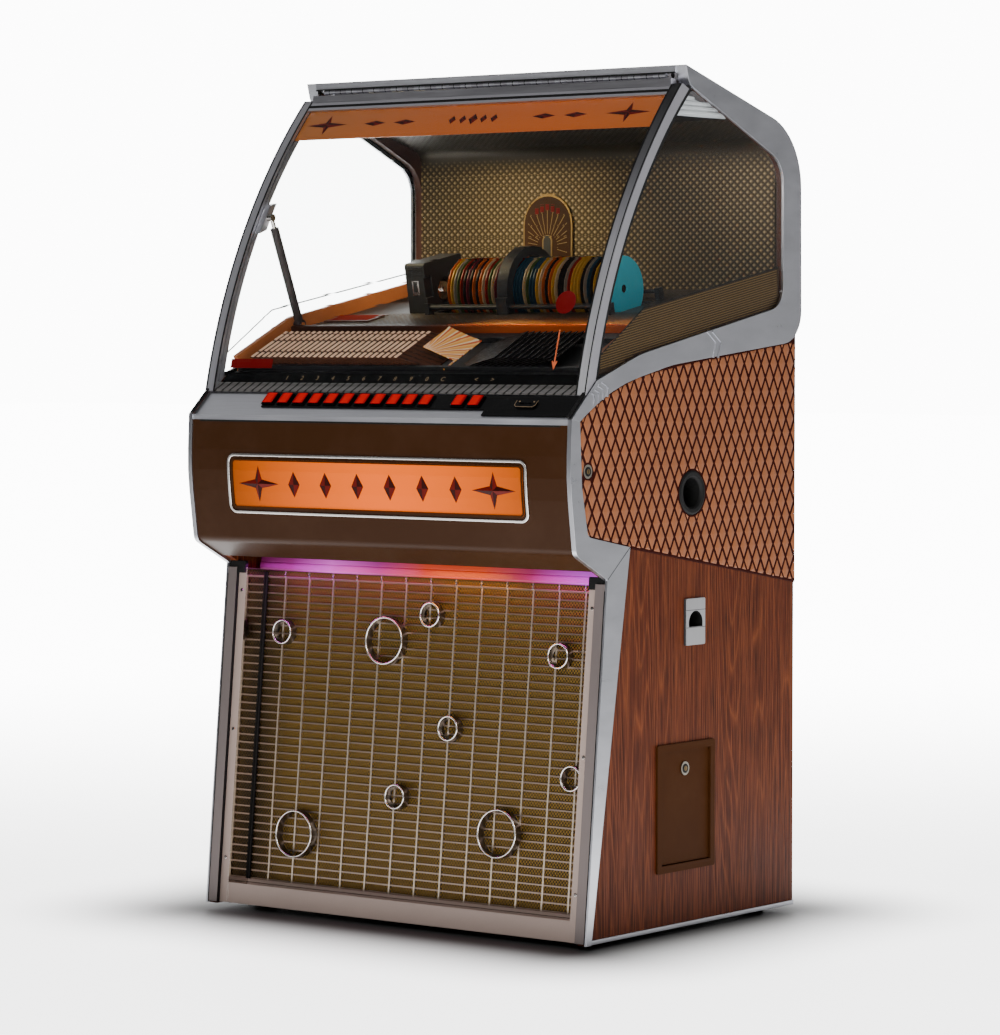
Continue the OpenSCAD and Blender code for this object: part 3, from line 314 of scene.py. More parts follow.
def bar(bm, matrix, low, high, ease=0.0, tone=0):
    """Box between two corners of a frame, with eased edges."""
    low, high = Vector(low), Vector(high)
    made = bmesh.ops.create_cube(bm, size=1.0)
    span = high - low
    place = matrix @ Matrix.Translation((low + high) / 2) @ Matrix.Diagonal((*span, 1))
    verts = grown(bm, made, place, tone)
    if ease:
        edges = list({e for v in verts for e in v.link_edges})
        round_edges(bm, edges, ease)


def side_bar(bm, matrix, sign, low, high, ease=0.0):
    """Bar on one side of a frame, from the corners of its right-hand twin."""
    near, far = sorted((sign * low[0], sign * high[0]))
    bar(bm, matrix, (near, *low[1:]), (far, *high[1:]), ease)


def disc(bm, matrix, radius, height, segments=24, ease=0.0, tone=0):
    """Short round boss that stands on a frame's xy plane."""
    made = bmesh.ops.create_cone(
        bm, cap_ends=True, segments=segments, radius1=radius, radius2=radius, depth=height
    )
    verts = grown(bm, made, at(matrix, 0, 0, height / 2), tone)
    if ease:
        top = [e for v in verts for e in v.link_edges if e.is_valid]
        rims = [e for e in set(top) if e.calc_face_angle(0) > 1.0]
        round_edges(bm, rims, ease)


def plate(bm, matrix, outline, height, ease=0.0, tone=0):
    """Flat plate with a drawn outline that stands on a frame's xy plane."""
    verts = [bm.verts.new((p[0], p[1], 0)) for p in outline]
    face = bm.faces.new(verts)
    face.normal_update()
    if face.normal.z < 0:
        bmesh.ops.reverse_faces(bm, faces=[face])
    top = raise_faces(bm, [face], (0, 0, height))
    everything = verts + top
    faces = {f for v in everything for f in v.link_faces}
    for f in faces:
        f.material_index = tone
    bmesh.ops.recalc_face_normals(bm, faces=list(faces))
    if ease:
        top_face = [f for f in faces if all(v in top for v in f.verts)]
        rim = list({e for f in top_face for e in f.edges})
        made = round_edges(bm, rim, ease)
        everything = list({v for v in everything if v.is_valid} | set(made["verts"]))
    bmesh.ops.transform(bm, matrix=matrix, verts=everything)


def star_outline(span, rise, waist=0.175):
    """Four-point star: long arms along x, shorter ones along y."""
    points = []
    for i in range(8):
        a = i * math.pi / 4
        if i % 2:
            points.append((waist * rise * math.cos(a), waist * rise * math.sin(a)))
        else:
            points.append((span / 2 * math.cos(a), rise / 2 * math.sin(a)))
    return points


def star(bm, matrix, span, rise, height, tones):
    """Faceted star: facets on one side of each arm take a painted light tone, those on the other
    side a painted shade tone.
    """
    outline = star_outline(span, rise)
    ring = [bm.verts.new((p[0], p[1], 0)) for p in outline]
    face = bm.faces.new(ring)
    face.normal_update()
    facets = bmesh.ops.poke(bm, faces=[face], offset=height)["faces"]
    for facet in facets:
        middle = facet.calc_center_median()
        turn = math.atan2(middle.y, middle.x) / (math.pi / 4)
        facet.material_index = tones[int(math.floor(turn)) % 2]
    verts = list({v for f in facets for v in f.verts})
    bmesh.ops.transform(bm, matrix=matrix, verts=verts)


def stripe(bm, matrix, path, width, height, tone=0):
    """Flat ribbon along a path in a frame's xy plane, its width to the left of travel."""
    shifted = []
    for i, p in enumerate(path):
        before = Vector(path[max(i, 1)]) - Vector(path[max(i, 1) - 1])
        after = before if i == len(path) - 1 else Vector(path[i + 1]) - Vector(p)
        miter = before.normalized() + after.normalized()
        side = Vector((-miter.y, miter.x)).normalized()
        across = Vector((-after.y, after.x)).normalized()
        shifted.append(Vector(p) + side * (width / max(side.dot(across), 0.3)))
    outline = [tuple(p) for p in path] + [tuple(p) for p in reversed(shifted)]
    plate(bm, matrix, outline, height, tone=tone)


def eased_copy(node, width, sharp=25.0):
    """Bmesh of a solid's own mesh, merged, with its sharp edges rounded."""
    bm = mesh_of(node)
    bmesh.ops.dissolve_limit(
        bm, angle_limit=math.radians(0.5), use_dissolve_boundaries=False,
        verts=bm.verts, edges=bm.edges,
    )
    edges = [
        e for e in bm.edges
        if e.is_manifold and e.calc_face_angle(0) > math.radians(sharp)
    ]
    round_edges(bm, edges, width)
    return bm


# Materials


def group_of(name, inputs, outputs):
    """New shader node group with its sockets, and its two end nodes."""
    tree = bpy.data.node_groups.new(name, "ShaderNodeTree")
    kinds = {"v": "NodeSocketVector", "f": "NodeSocketFloat"}
    for label, kind, value in inputs:
        socket = tree.interface.new_socket(label, in_out="INPUT", socket_type=kinds[kind])
        if value is not None:
            socket.default_value = value
    for label, kind in outputs:
        tree.interface.new_socket(label, in_out="OUTPUT", socket_type=kinds[kind])
    return tree, tree.nodes.new("NodeGroupInput"), tree.nodes.new("NodeGroupOutput")


def wire(tree, kind, sets=None, links=None, **attributes):
    """New node with attributes, input values and incoming links."""
    node = tree.nodes.new(kind)
    for key, value in attributes.items():
        setattr(node, key, value)
    for key, value in (sets or {}).items():
        node.inputs[key].default_value = value
    for key, socket in (links or {}).items():
        tree.links.new(socket, node.inputs[key])
    return node


def math_node(tree, operation, a, b=None):
    node = wire(tree, "ShaderNodeMath", operation=operation)
    for i, value in enumerate((a, b)):
        if value is None:
            continue
        if isinstance(value, (int, float)):
            node.inputs[i].default_value = value
        else:
            tree.links.new(value, node.inputs[i])
    return node.outputs[0]


def fill_ramp(ramp, stops):
    """Gives a colour ramp its places and colours."""
    while len(ramp.elements) < len(stops):
        ramp.elements.new(1.0)
    for element, (place, colour) in zip(ramp.elements, stops):
        element.position = place
        element.color = (*colour, 1)


def streak_group():
    """Fine lines drawn out along one axis: brush marks, wood pores, cloth threads."""
    tree, start, end = group_of(
        "drawn_lines",
        [("Vector", "v", None), ("Stretch", "v", (1, 1, 1)), ("Low", "f", 0.3), ("High", "f", 0.7)],
        [("Value", "f")],
    )
    stretched = wire(
        tree, "ShaderNodeVectorMath", operation="MULTIPLY",
        links={0: start.outputs["Vector"], 1: start.outputs["Stretch"]},
    )
    noise = wire(
        tree, "ShaderNodeTexNoise", {"Scale": 1.0, "Detail": 3.0, "Roughness": 0.6},
        {"Vector": stretched.outputs[0]},
    )
    spread = wire(
        tree, "ShaderNodeMapRange",
        links={
            "Value": noise.outputs["Fac"],
            "From Min": start.outputs["Low"],
            "From Max": start.outputs["High"],
        },
    )
    tree.links.new(spread.outputs[0], end.inputs["Value"])
    return tree


def smudge_group():
    """Soft hand marks and dust: slow noise broken up by fine noise."""
    tree, start, end = group_of(
        "hand_marks",
        [("Vector", "v", None), ("Scale", "f", 6.0), ("Amount", "f", 1.0)],
        [("Mask", "f")],
    )
    slow = wire(
        tree, "ShaderNodeTexNoise", {"Detail": 4.0, "Roughness": 0.65},
        {"Vector": start.outputs["Vector"], "Scale": start.outputs["Scale"]},
    )
    fine_scale = math_node(tree, "MULTIPLY", start.outputs["Scale"], 9.0)
    fine = wire(
        tree, "ShaderNodeTexNoise", {"Detail": 2.0},
        {"Vector": start.outputs["Vector"], "Scale": fine_scale},
    )
    spread = wire(
        tree, "ShaderNodeMapRange", {"From Min": 0.42, "From Max": 0.68},
        {"Value": slow.outputs["Fac"]},
    )
    broken = math_node(tree, "MULTIPLY", spread.outputs[0], fine.outputs["Fac"])
    tree.links.new(math_node(tree, "MULTIPLY", broken, start.outputs["Amount"]), end.inputs["Mask"])
    return tree


def socket_name(keyword):
    return keyword.replace("_", " ").title().replace("Ior", "IOR")


class Finish:
    """One material and short calls for its nodes."""

    groups = {}

    def __init__(self, name, base, roughness, metallic=0.0, **constants):
        self.material = bpy.data.materials.new(name)
        self.material.use_nodes = True
        self.tree = self.material.node_tree
        self.shader = self.tree.nodes["Principled BSDF"]
        self.shader.inputs["Base Color"].default_value = (*base, 1)
        self.shader.inputs["Roughness"].default_value = roughness
        self.shader.inputs["Metallic"].default_value = metallic
        for key, value in constants.items():
            self.shader.inputs[socket_name(key)].default_value = value
        self.place = self.add("ShaderNodeTexCoord").outputs["Object"]

    def add(self, kind, sets=None, links=None, **attributes):
        return wire(self.tree, kind, sets, links, **attributes)

    def axis(self, index):
        if not hasattr(self, "split"):
            self.split = self.add("ShaderNodeSeparateXYZ", links={0: self.place})
        return self.split.outputs[index]

    def group(self, name, sets, links):
        if name not in Finish.groups:
            makers = {"lines": streak_group, "marks": smudge_group}
            Finish.groups[name] = makers[name]()
        node = self.add("ShaderNodeGroup", sets, links, node_tree=Finish.groups[name])
        return node.outputs[0]

    def lines(self, stretch, low, high):
        sets = {"Stretch": stretch, "Low": low, "High": high}
        return self.group("lines", sets, {"Vector": self.place})

    def marks(self, scale, amount=1.0):
        return self.group("marks", {"Scale": scale, "Amount": amount}, {"Vector": self.place})

    def ramp(self, value, stops, constant=False):
        node = self.add("ShaderNodeValToRGB", links={"Fac": value})
        node.color_ramp.interpolation = "CONSTANT" if constant else "LINEAR"
        fill_ramp(node.color_ramp, stops)
        return node.outputs["Color"]

    def mix(self, factor, first, second):
        node = self.add("ShaderNodeMix", data_type="RGBA")
        for slot, value in ((0, factor), (6, first), (7, second)):
            if isinstance(value, (int, float)):
                node.inputs[slot].default_value = value
            elif isinstance(value, tuple):
                node.inputs[slot].default_value = (*value[:3], 1)
            else:
                self.tree.links.new(value, node.inputs[slot])
        return node.outputs[2]

    def math(self, operation, a, b=None):
        return math_node(self.tree, operation, a, b)

    def times(self, a, b):
        return self.math("MULTIPLY", a, b)

    def plus(self, a, b):
        return self.math("ADD", a, b)

    def minus(self, a, b):
        return self.math("SUBTRACT", a, b)

    def over(self, a, b):
        return self.math("DIVIDE", a, b)

    def apart(self, a, b):
        """Distance between two values."""
        return self.math("ABSOLUTE", self.minus(a, b))

    def off_line(self, value, pitch):
        """Distance from the nearest of a row of lines, as a share of their pitch."""
        return self.apart(self.math("FRACT", self.plus(self.over(value, pitch), 0.5)), 0.5)

    def worn(self, fine, low, high, marks, amount):
        """Roughness that follows a fine grain and rises under hand marks."""
        return self.plus(self.span(fine, low, high), self.times(marks, amount))

    def normal(self):
        return self.add("ShaderNodeNewGeometry").outputs["Normal"]

    def along(self, vector, way):
        """Part of a vector that runs along a fixed way."""
        node = self.add("ShaderNodeVectorMath", {1: way}, {0: vector}, operation="DOT_PRODUCT")
        return node.outputs["Value"]

    def noise(self, place, **settings):
        node = self.add("ShaderNodeTexNoise", settings, {"Vector": place})
        return node.outputs["Fac"]

    def span(self, value, low, high):
        return self.add(
            "ShaderNodeMapRange", {"To Min": low, "To Max": high}, {"Value": value}
        ).outputs[0]

    def ease(self, value, start, stop, low, high):
        sets = {"From Min": start, "From Max": stop, "To Min": low, "To Max": high}
        return self.add(
            "ShaderNodeMapRange", sets, {"Value": value}, interpolation_type="SMOOTHSTEP"
        ).outputs[0]

    def feed(self, **sockets):
        for key, socket in sockets.items():
            self.tree.links.new(socket, self.shader.inputs[socket_name(key)])

    def bump(self, height, strength, distance):
        sets = {"Strength": strength, "Distance": distance}
        node = self.add("ShaderNodeBump", sets, {"Height": height})
        self.tree.links.new(node.outputs[0], self.shader.inputs["Normal"])
        return self


def brushed(name, colour, roughness, stretch, tone=0.86, metal=1.0):
    """Satin or polished metal with fine drawn lines and hand marks."""
    f = Finish(name, colour, roughness, metal)
    fine = f.lines(stretch, 0.25, 0.75)
    marks = f.marks(5.0)
    dull = scaled(colour, tone)
    f.feed(
        base_color=f.mix(fine, dull, tuple(colour)),
        roughness=f.worn(fine, roughness * 0.85, roughness * 1.15, marks, 0.10),
    )
    return f.bump(fine, 0.05, 0.0002).material


def moulded(name, colour, roughness, grain=900.0, strength=0.10, shine=0.3):
    """Moulded plastic or paint with a fine grain and hand marks."""
    f = Finish(name, colour, roughness, specular_ior_level=shine)
    grainy = f.noise(f.place, Scale=grain, Detail=2.0)
    marks = f.marks(7.0)
    lighter = tuple(min(1.0, c * 1.25 + 0.004) for c in colour)
    f.feed(
        base_color=f.mix(marks, tuple(colour), lighter),
        roughness=f.worn(grainy, roughness * 0.9, roughness * 1.1, marks, 0.12),
    )
    return f.bump(grainy, strength, 0.0003).material


def veneer(name):
    """Walnut veneer with upright, arched figure and open pores."""
    c = colours()
    f = Finish(name, c.wood_mid, 0.5, specular_ior_level=0.10)
    slow = f.add(
        "ShaderNodeVectorMath", {1: (1.0, 7.0, 0.42)}, {0: f.place}, operation="MULTIPLY"
    )
    bend = f.noise(slow.outputs[0], Scale=1.0, Detail=2.0, Roughness=0.45)
    bands = f.math("FRACT", f.times(bend, 40.0))
    figure = f.math("POWER", f.apart(f.times(bands, 2.0), 1.0), 3.0)
    fine = f.lines((90.0, 420.0, 5.0), 0.34, 0.66)
    pale = f.lines((120.0, 560.0, 7.0), 0.46, 0.66)
    pores = f.lines((300.0, 760.0, 14.0), 0.50, 0.62)
    body = f.mix(f.times(fine, 0.80), tuple(c.wood_mid), tuple(c.wood_dark))
    body = f.mix(f.times(f.math("MAXIMUM", figure, pale), 0.70), body, tuple(c.wood_light))
    body = f.mix(f.times(pores, 0.70), body, scaled(c.wood_dark, 0.5))
    f.feed(base_color=body, roughness=f.span(fine, 0.42, 0.6))
    return f.bump(pores, -0.2, 0.0003).material


def clear(name):
    """Clear pane that lets lamp light through to the mechanism."""
    f = Finish(name, (0.97, 0.985, 0.98), 0.0, transmission_weight=1.0, ior=1.20)
    marks = f.marks(3.0, 0.5)
    f.feed(roughness=f.span(marks, 0.0, 0.03))
    out = f.tree.nodes["Material Output"]
    through = f.add("ShaderNodeBsdfTransparent", {"Color": (0.96, 0.97, 0.96, 1)})
    path = f.add("ShaderNodeLightPath")
    unlit = f.math("MAXIMUM", path.outputs["Is Shadow Ray"], path.outputs["Is Diffuse Ray"])
    joined = f.add(
        "ShaderNodeMixShader", links={0: unlit, 1: f.shader.outputs[0], 2: through.outputs[0]}
    )
    f.tree.links.new(joined.outputs[0], out.inputs["Surface"])
    return f.material


def lit(name, colour, edge, strength, centre, reach):
    """Lit translucent plate: brighter in the middle of its width than at its ends."""
    f = Finish(name, colour, 0.35, emission_strength=strength, specular_ior_level=0.1)
    off = f.over(f.apart(f.axis(0), centre), reach)
    cloud = f.marks(9.0, 0.5)
    fall = f.plus(f.math("POWER", off, 1.6), f.times(cloud, 0.15))
    fall = f.math("MINIMUM", fall, 1.0)
    shade = f.mix(fall, tuple(colour), tuple(edge))
    f.feed(base_color=shade, emission_color=shade)
    return f.material


# Heights between which the bay's sheet falls into the shade of the ceiling
CEILING_SHADE = {"From Min": 1.350, "From Max": 1.386}


def rolled_sheet(name, colour, roughness, metallic):
    """Embossed sheet metal: rolled grain, hand marks, dust on its upper faces, and painted shade in
    the valleys between its pyramids and under the ceiling.
    """
    f = Finish(name, colour, roughness, metallic)
    grain = f.lines((60.0, 400.0, 400.0), 0.3, 0.7)
    marks = f.marks(4.0)
    rise = f.add("ShaderNodeAttribute", attribute_name="rise").outputs["Fac"]
    up = f.add("ShaderNodeSeparateXYZ", links={0: f.normal()}).outputs[2]
    dust = f.times(f.math("MAXIMUM", up, 0.0), f.times(marks, 0.35))
    shade = f.mix(f.times(grain, 0.35), tuple(colour), scaled(colour, 0.6))
    # painted shade: the low points between the pyramids go nearly black
    shade = f.mix(f.math("POWER", rise, 2.2), scaled(colour, 0.05), shade)
    # painted shade of the ceiling over the top of the sheet
    ceiling_painted_shade = f.add("ShaderNodeMapRange", CEILING_SHADE, {"Value": f.axis(2)})
    shade = f.mix(ceiling_painted_shade.outputs[0], shade, scaled(colour, 0.05))
    f.feed(
        base_color=f.mix(dust, shade, srgb(150, 140, 126)),
        roughness=f.worn(grain, roughness * 0.9, roughness * 1.15, marks, 0.12),
    )
    return f.bump(grain, 0.05, 0.0002).material


def disc_paint(name):
    """Printed discs: a colour of its own for each disc along the row, and a plain blue last one."""
    f = Finish(name, (0.5, 0.5, 0.5), 0.22, 0.15, specular_ior_level=0.4)
    number = f.math("FLOOR", f.over(f.plus(f.axis(0), -DISC_ROW_X), DISC_PITCH))
    dice = f.add("ShaderNodeTexWhiteNoise", noise_dimensions="1D", links={"W": number})
    palette = [
        (0.00, srgb(98, 22, 14)), (0.12, srgb(136, 100, 34)), (0.24, srgb(24, 44, 56)),
        (0.36, srgb(128, 108, 82)), (0.48, srgb(24, 19, 18)), (0.58, srgb(132, 58, 16)),
        (0.70, srgb(50, 60, 30)), (0.80, srgb(96, 86, 76)), (0.90, srgb(74, 24, 32)),
    ]
    paint = f.ramp(dice.outputs["Value"], palette, constant=True)
    last = f.math("GREATER_THAN", f.axis(0), LAST_DISC_X)
    f.feed(
        base_color=f.mix(last, paint, srgb(50, 166, 188)),
        roughness=f.span(f.marks(20.0), 0.18, 0.34),
    )
    return f.material


# Width and height of a thread's wave in the cloth
THREAD_W, THREAD_H = 0.0064, 0.0073


def woven(name):
    """Gold cloth of flat threads behind the grille, with a painted shadow that darkens it towards
    the left jamb.
    """
    c = colours()
    f = Finish(name, c.mesh, 0.45, 0.55)
    across = f.math("COSINE", f.times(f.axis(0), 2 * math.pi / THREAD_W))
    up = f.math("COSINE", f.times(f.axis(2), 2 * math.pi / THREAD_H))
    gaps = f.ease(f.times(across, up), -0.06, 0.10, 1.0, 0.0)
    thread = f.lines((900.0, 900.0, 900.0), 0.2, 0.8)
    seen = f.times(gaps, f.span(thread, 0.6, 1.0))
    shade = f.mix(seen, scaled(c.mesh, 0.02), tuple(c.mesh))
    # painted shadow of the left jamb over the left edge of the cloth
    painted_shade_mask = f.ease(f.axis(0), -0.391, -0.300, 0.25, 1.0)
    f.feed(
        base_color=f.mix(painted_shade_mask, (0.002, 0.001, 0.0), shade),
        roughness=f.span(thread, 0.35, 0.6),
    )
    return f.bump(gaps, 0.8, 0.0012).material


def ladder(name):
    """Grille bars: bright uprights, duller cross bars and a top bar in the shade of the nose."""
    f = Finish(name, srgb(226, 206, 184), 0.34, 1.0)
    fine = f.lines((300.0, 300.0, 30.0), 0.25, 0.75)
    upright = f.math("LESS_THAN", f.off_line(f.axis(0), GRILLE_PITCH), 0.034)
    bars = f.mix(upright, srgb(160, 140, 126), srgb(208, 192, 172))
    bars = f.mix(f.times(fine, 0.2), bars, srgb(90, 78, 68))
    painted_shade_mask = f.math("GREATER_THAN", f.axis(2), GRILLE_TOP)
    f.feed(base_color=f.mix(painted_shade_mask, bars, srgb(30, 6, 20)), roughness=f.span(fine, 0.3, 0.42))
    return f.bump(fine, 0.05, 0.0002).material


def lid_front(name):
    """Polished front of the lid's arms, with a painted reflection on the right arm: dark towards
    the roof, pale towards the foot.
    """
    f = Finish(name, srgb(150, 150, 156), 0.4, 0.4)
    fine = f.lines((500.0, 12.0, 12.0), 0.25, 0.75)
    # painted reflection: the right arm's front runs from pale at its foot to dark at the roof
    painted_reflection_stops = [
        (0.24, srgb(186, 186, 190)), (0.50, srgb(160, 160, 166)),
        (0.64, srgb(96, 96, 100)), (0.76, srgb(16, 16, 18)),
    ]
    paint = f.ramp(f.minus(f.axis(2), 0.7), painted_reflection_stops)
    paint = f.mix(f.math("GREATER_THAN", f.axis(0), 0.0), srgb(150, 150, 156), paint)
    f.feed(
        base_color=f.mix(f.times(fine, 0.25), paint, srgb(60, 60, 64)),
        roughness=f.span(fine, 0.36, 0.46),
    )
    return f.material


# Pitch of the painted reflection lines on the lid's foot rail
REFLECTION_LINE_PITCH = 0.0180


def rib_reflection_paint(name):
    """Foot rail of the lid with dark slanting lines that paint the reflection of its ribs."""
    f = Finish(name, srgb(120, 118, 118), 0.36, 0.6)
    fine = f.lines((12.0, 400.0, 400.0), 0.25, 0.75)
    run = f.over(f.minus(f.axis(0), f.times(f.axis(2), 0.8)), REFLECTION_LINE_PITCH)
    # painted reflection: dark slanting lines across the rail
    painted_rib_reflection = f.math("LESS_THAN", f.math("FRACT", run), 0.24)
    f.feed(
        base_color=f.mix(painted_rib_reflection, srgb(124, 121, 120), srgb(14, 12, 11)),
        roughness=f.span(fine, 0.3, 0.45),
    )
    return f.material


def lamp_light_painted_lip(name):
    """Brown lip of the deck with painted lamp light: orange and glowing towards its right end,
    where a lamp under the lid would reach it.
    """
    f = Finish(name, srgb(58, 34, 26), 0.5, specular_ior_level=0.1, emission_strength=0.5)
    # painted lamp light: orange colour and glow that rise towards the right end
    warm = f.ease(f.axis(0), -0.12, 0.20, 0.0, 1.0)
    marks = f.marks(9.0)
    f.feed(
        base_color=f.mix(warm, srgb(58, 34, 26), srgb(120, 52, 12)),
        emission_color=f.mix(warm, (0.0, 0.0, 0.0), srgb(110, 40, 4)),
        roughness=f.span(marks, 0.4, 0.6),
    )
    return f.material


def card(name, pale, dark, pitch):
    """Printed card with rows of unreadable marks; the right-hand stack shows its dark backs."""
    f = Finish(name, pale, 0.45, specular_ior_level=0.1)
    rows = f.math("FRACT", f.over(f.axis(1), pitch))
    row = f.math("GREATER_THAN", rows, 0.62)
    marks = f.lines((60.0, 400.0, 400.0), 0.35, 0.6)
    front = f.mix(f.times(row, marks), tuple(pale), tuple(dark))
    right = f.math("GREATER_THAN", f.axis(0), 0.0945)
    f.feed(base_color=f.mix(right, front, srgb(9, 6, 5)), roughness=f.span(marks, 0.3, 0.5))
    return f.material


# Middle of the rays on the turning page
SUN_X, SUN_Y = 0.03, -0.245


def poster(name):
    """Bright sunburst card of plain rays on the turning page."""
    f = Finish(name, srgb(220, 170, 90), 0.35, coat_weight=0.5)
    turn = f.math("ARCTAN2", f.minus(f.axis(0), SUN_X), f.plus(f.axis(1), -SUN_Y))
    rays = f.math("FRACT", f.times(turn, 5.5))
    inks = [
        (0.0, srgb(226, 150, 60)), (0.35, srgb(240, 214, 170)),
        (0.55, srgb(196, 76, 30)), (0.8, srgb(236, 180, 100)),
    ]
    paint = f.ramp(rays, inks, constant=True)
    f.feed(base_color=paint, roughness=f.span(f.marks(30.0), 0.3, 0.5))
    return f.material


RAIL_WIDTH, RAIL_FRONT = 0.79, -0.2045


def glow_strip(name, top):
    """Light rail: magenta at its ends, amber in the middle, dark over its top."""
    f = Finish(name, (0.9, 0.5, 0.6), 0.4, emission_strength=0.8)
    run = f.plus(f.over(f.axis(0), RAIL_WIDTH), 0.5)
    glows = [
        (0.0, srgb(56, 4, 36)), (0.10, srgb(100, 14, 80)), (0.22, srgb(170, 66, 160)),
        (0.36, srgb(120, 30, 96)), (0.50, srgb(150, 40, 14)), (0.66, srgb(150, 44, 10)),
        (0.80, srgb(110, 16, 60)), (0.95, srgb(150, 50, 160)),
    ]
    paint = f.ramp(run, glows)
    under = f.math("LESS_THAN", f.axis(2), top)
    bar_only = f.times(under, f.math("GREATER_THAN", f.axis(1), RAIL_FRONT))
    shade = f.mix(bar_only, (0.004, 0.002, 0.002), paint)
    f.feed(base_color=shade, emission_color=shade, roughness=f.span(f.marks(12.0), 0.35, 0.5))
    return f.material


def padding(name, colour, line):
    """Laminate with a fine upright figure, shaded towards the lines."""
    f = Finish(name, colour, 0.42, specular_ior_level=0.25)
    fine = f.lines((90.0, 500.0, 30.0), 0.25, 0.75)
    marks = f.marks(3.0)
    warm = f.mix(f.times(fine, 0.35), tuple(colour), scaled(colour, 0.62))
    f.feed(
        base_color=f.mix(f.times(marks, 0.18), warm, tuple(line)),
        roughness=f.span(fine, 0.36, 0.5),
    )
    return f.bump(fine, 0.08, 0.0003).material


FASCIA_NORMAL = (0.0, -0.675, 0.737)


def lamp_button(name):
    """Lit red push button: its top glows, and painted shade darkens its sides and the ends of its
    top.
    """
    c = colours()
    f = Finish(name, c.button, 0.45, specular_ior_level=0.05, emission_strength=0.30)
    marks = f.marks(60.0)
    facing = f.along(f.normal(), FASCIA_NORMAL)
    off = f.off_line(f.plus(f.axis(0), -BUTTON_ROW_X), BUTTON_PITCH)
    # painted shade: the ends of each top and the faces turned away from the fascia go dark
    end_painted_shade = f.ease(off, 0.12, 0.40, 1.0, 0.25)
    top = f.times(f.ease(facing, 0.80, 0.985, 0.0, 1.0), end_painted_shade)
    red = f.mix(f.times(marks, 0.4), tuple(c.button), srgb(120, 0, 0))
    f.feed(
        base_color=f.mix(top, srgb(20, 0, 0), red),
        emission_color=f.mix(top, (0.0, 0.0, 0.0), tuple(c.button)),
        roughness=f.span(marks, 0.4, 0.55),
    )
    return f.material


# Ways that the lines of drawn metal run
CROSSWISE = (10.0, 500.0, 500.0)
UPRIGHT = (900.0, 900.0, 3.0)
EVEN = (200.0, 200.0, 200.0)


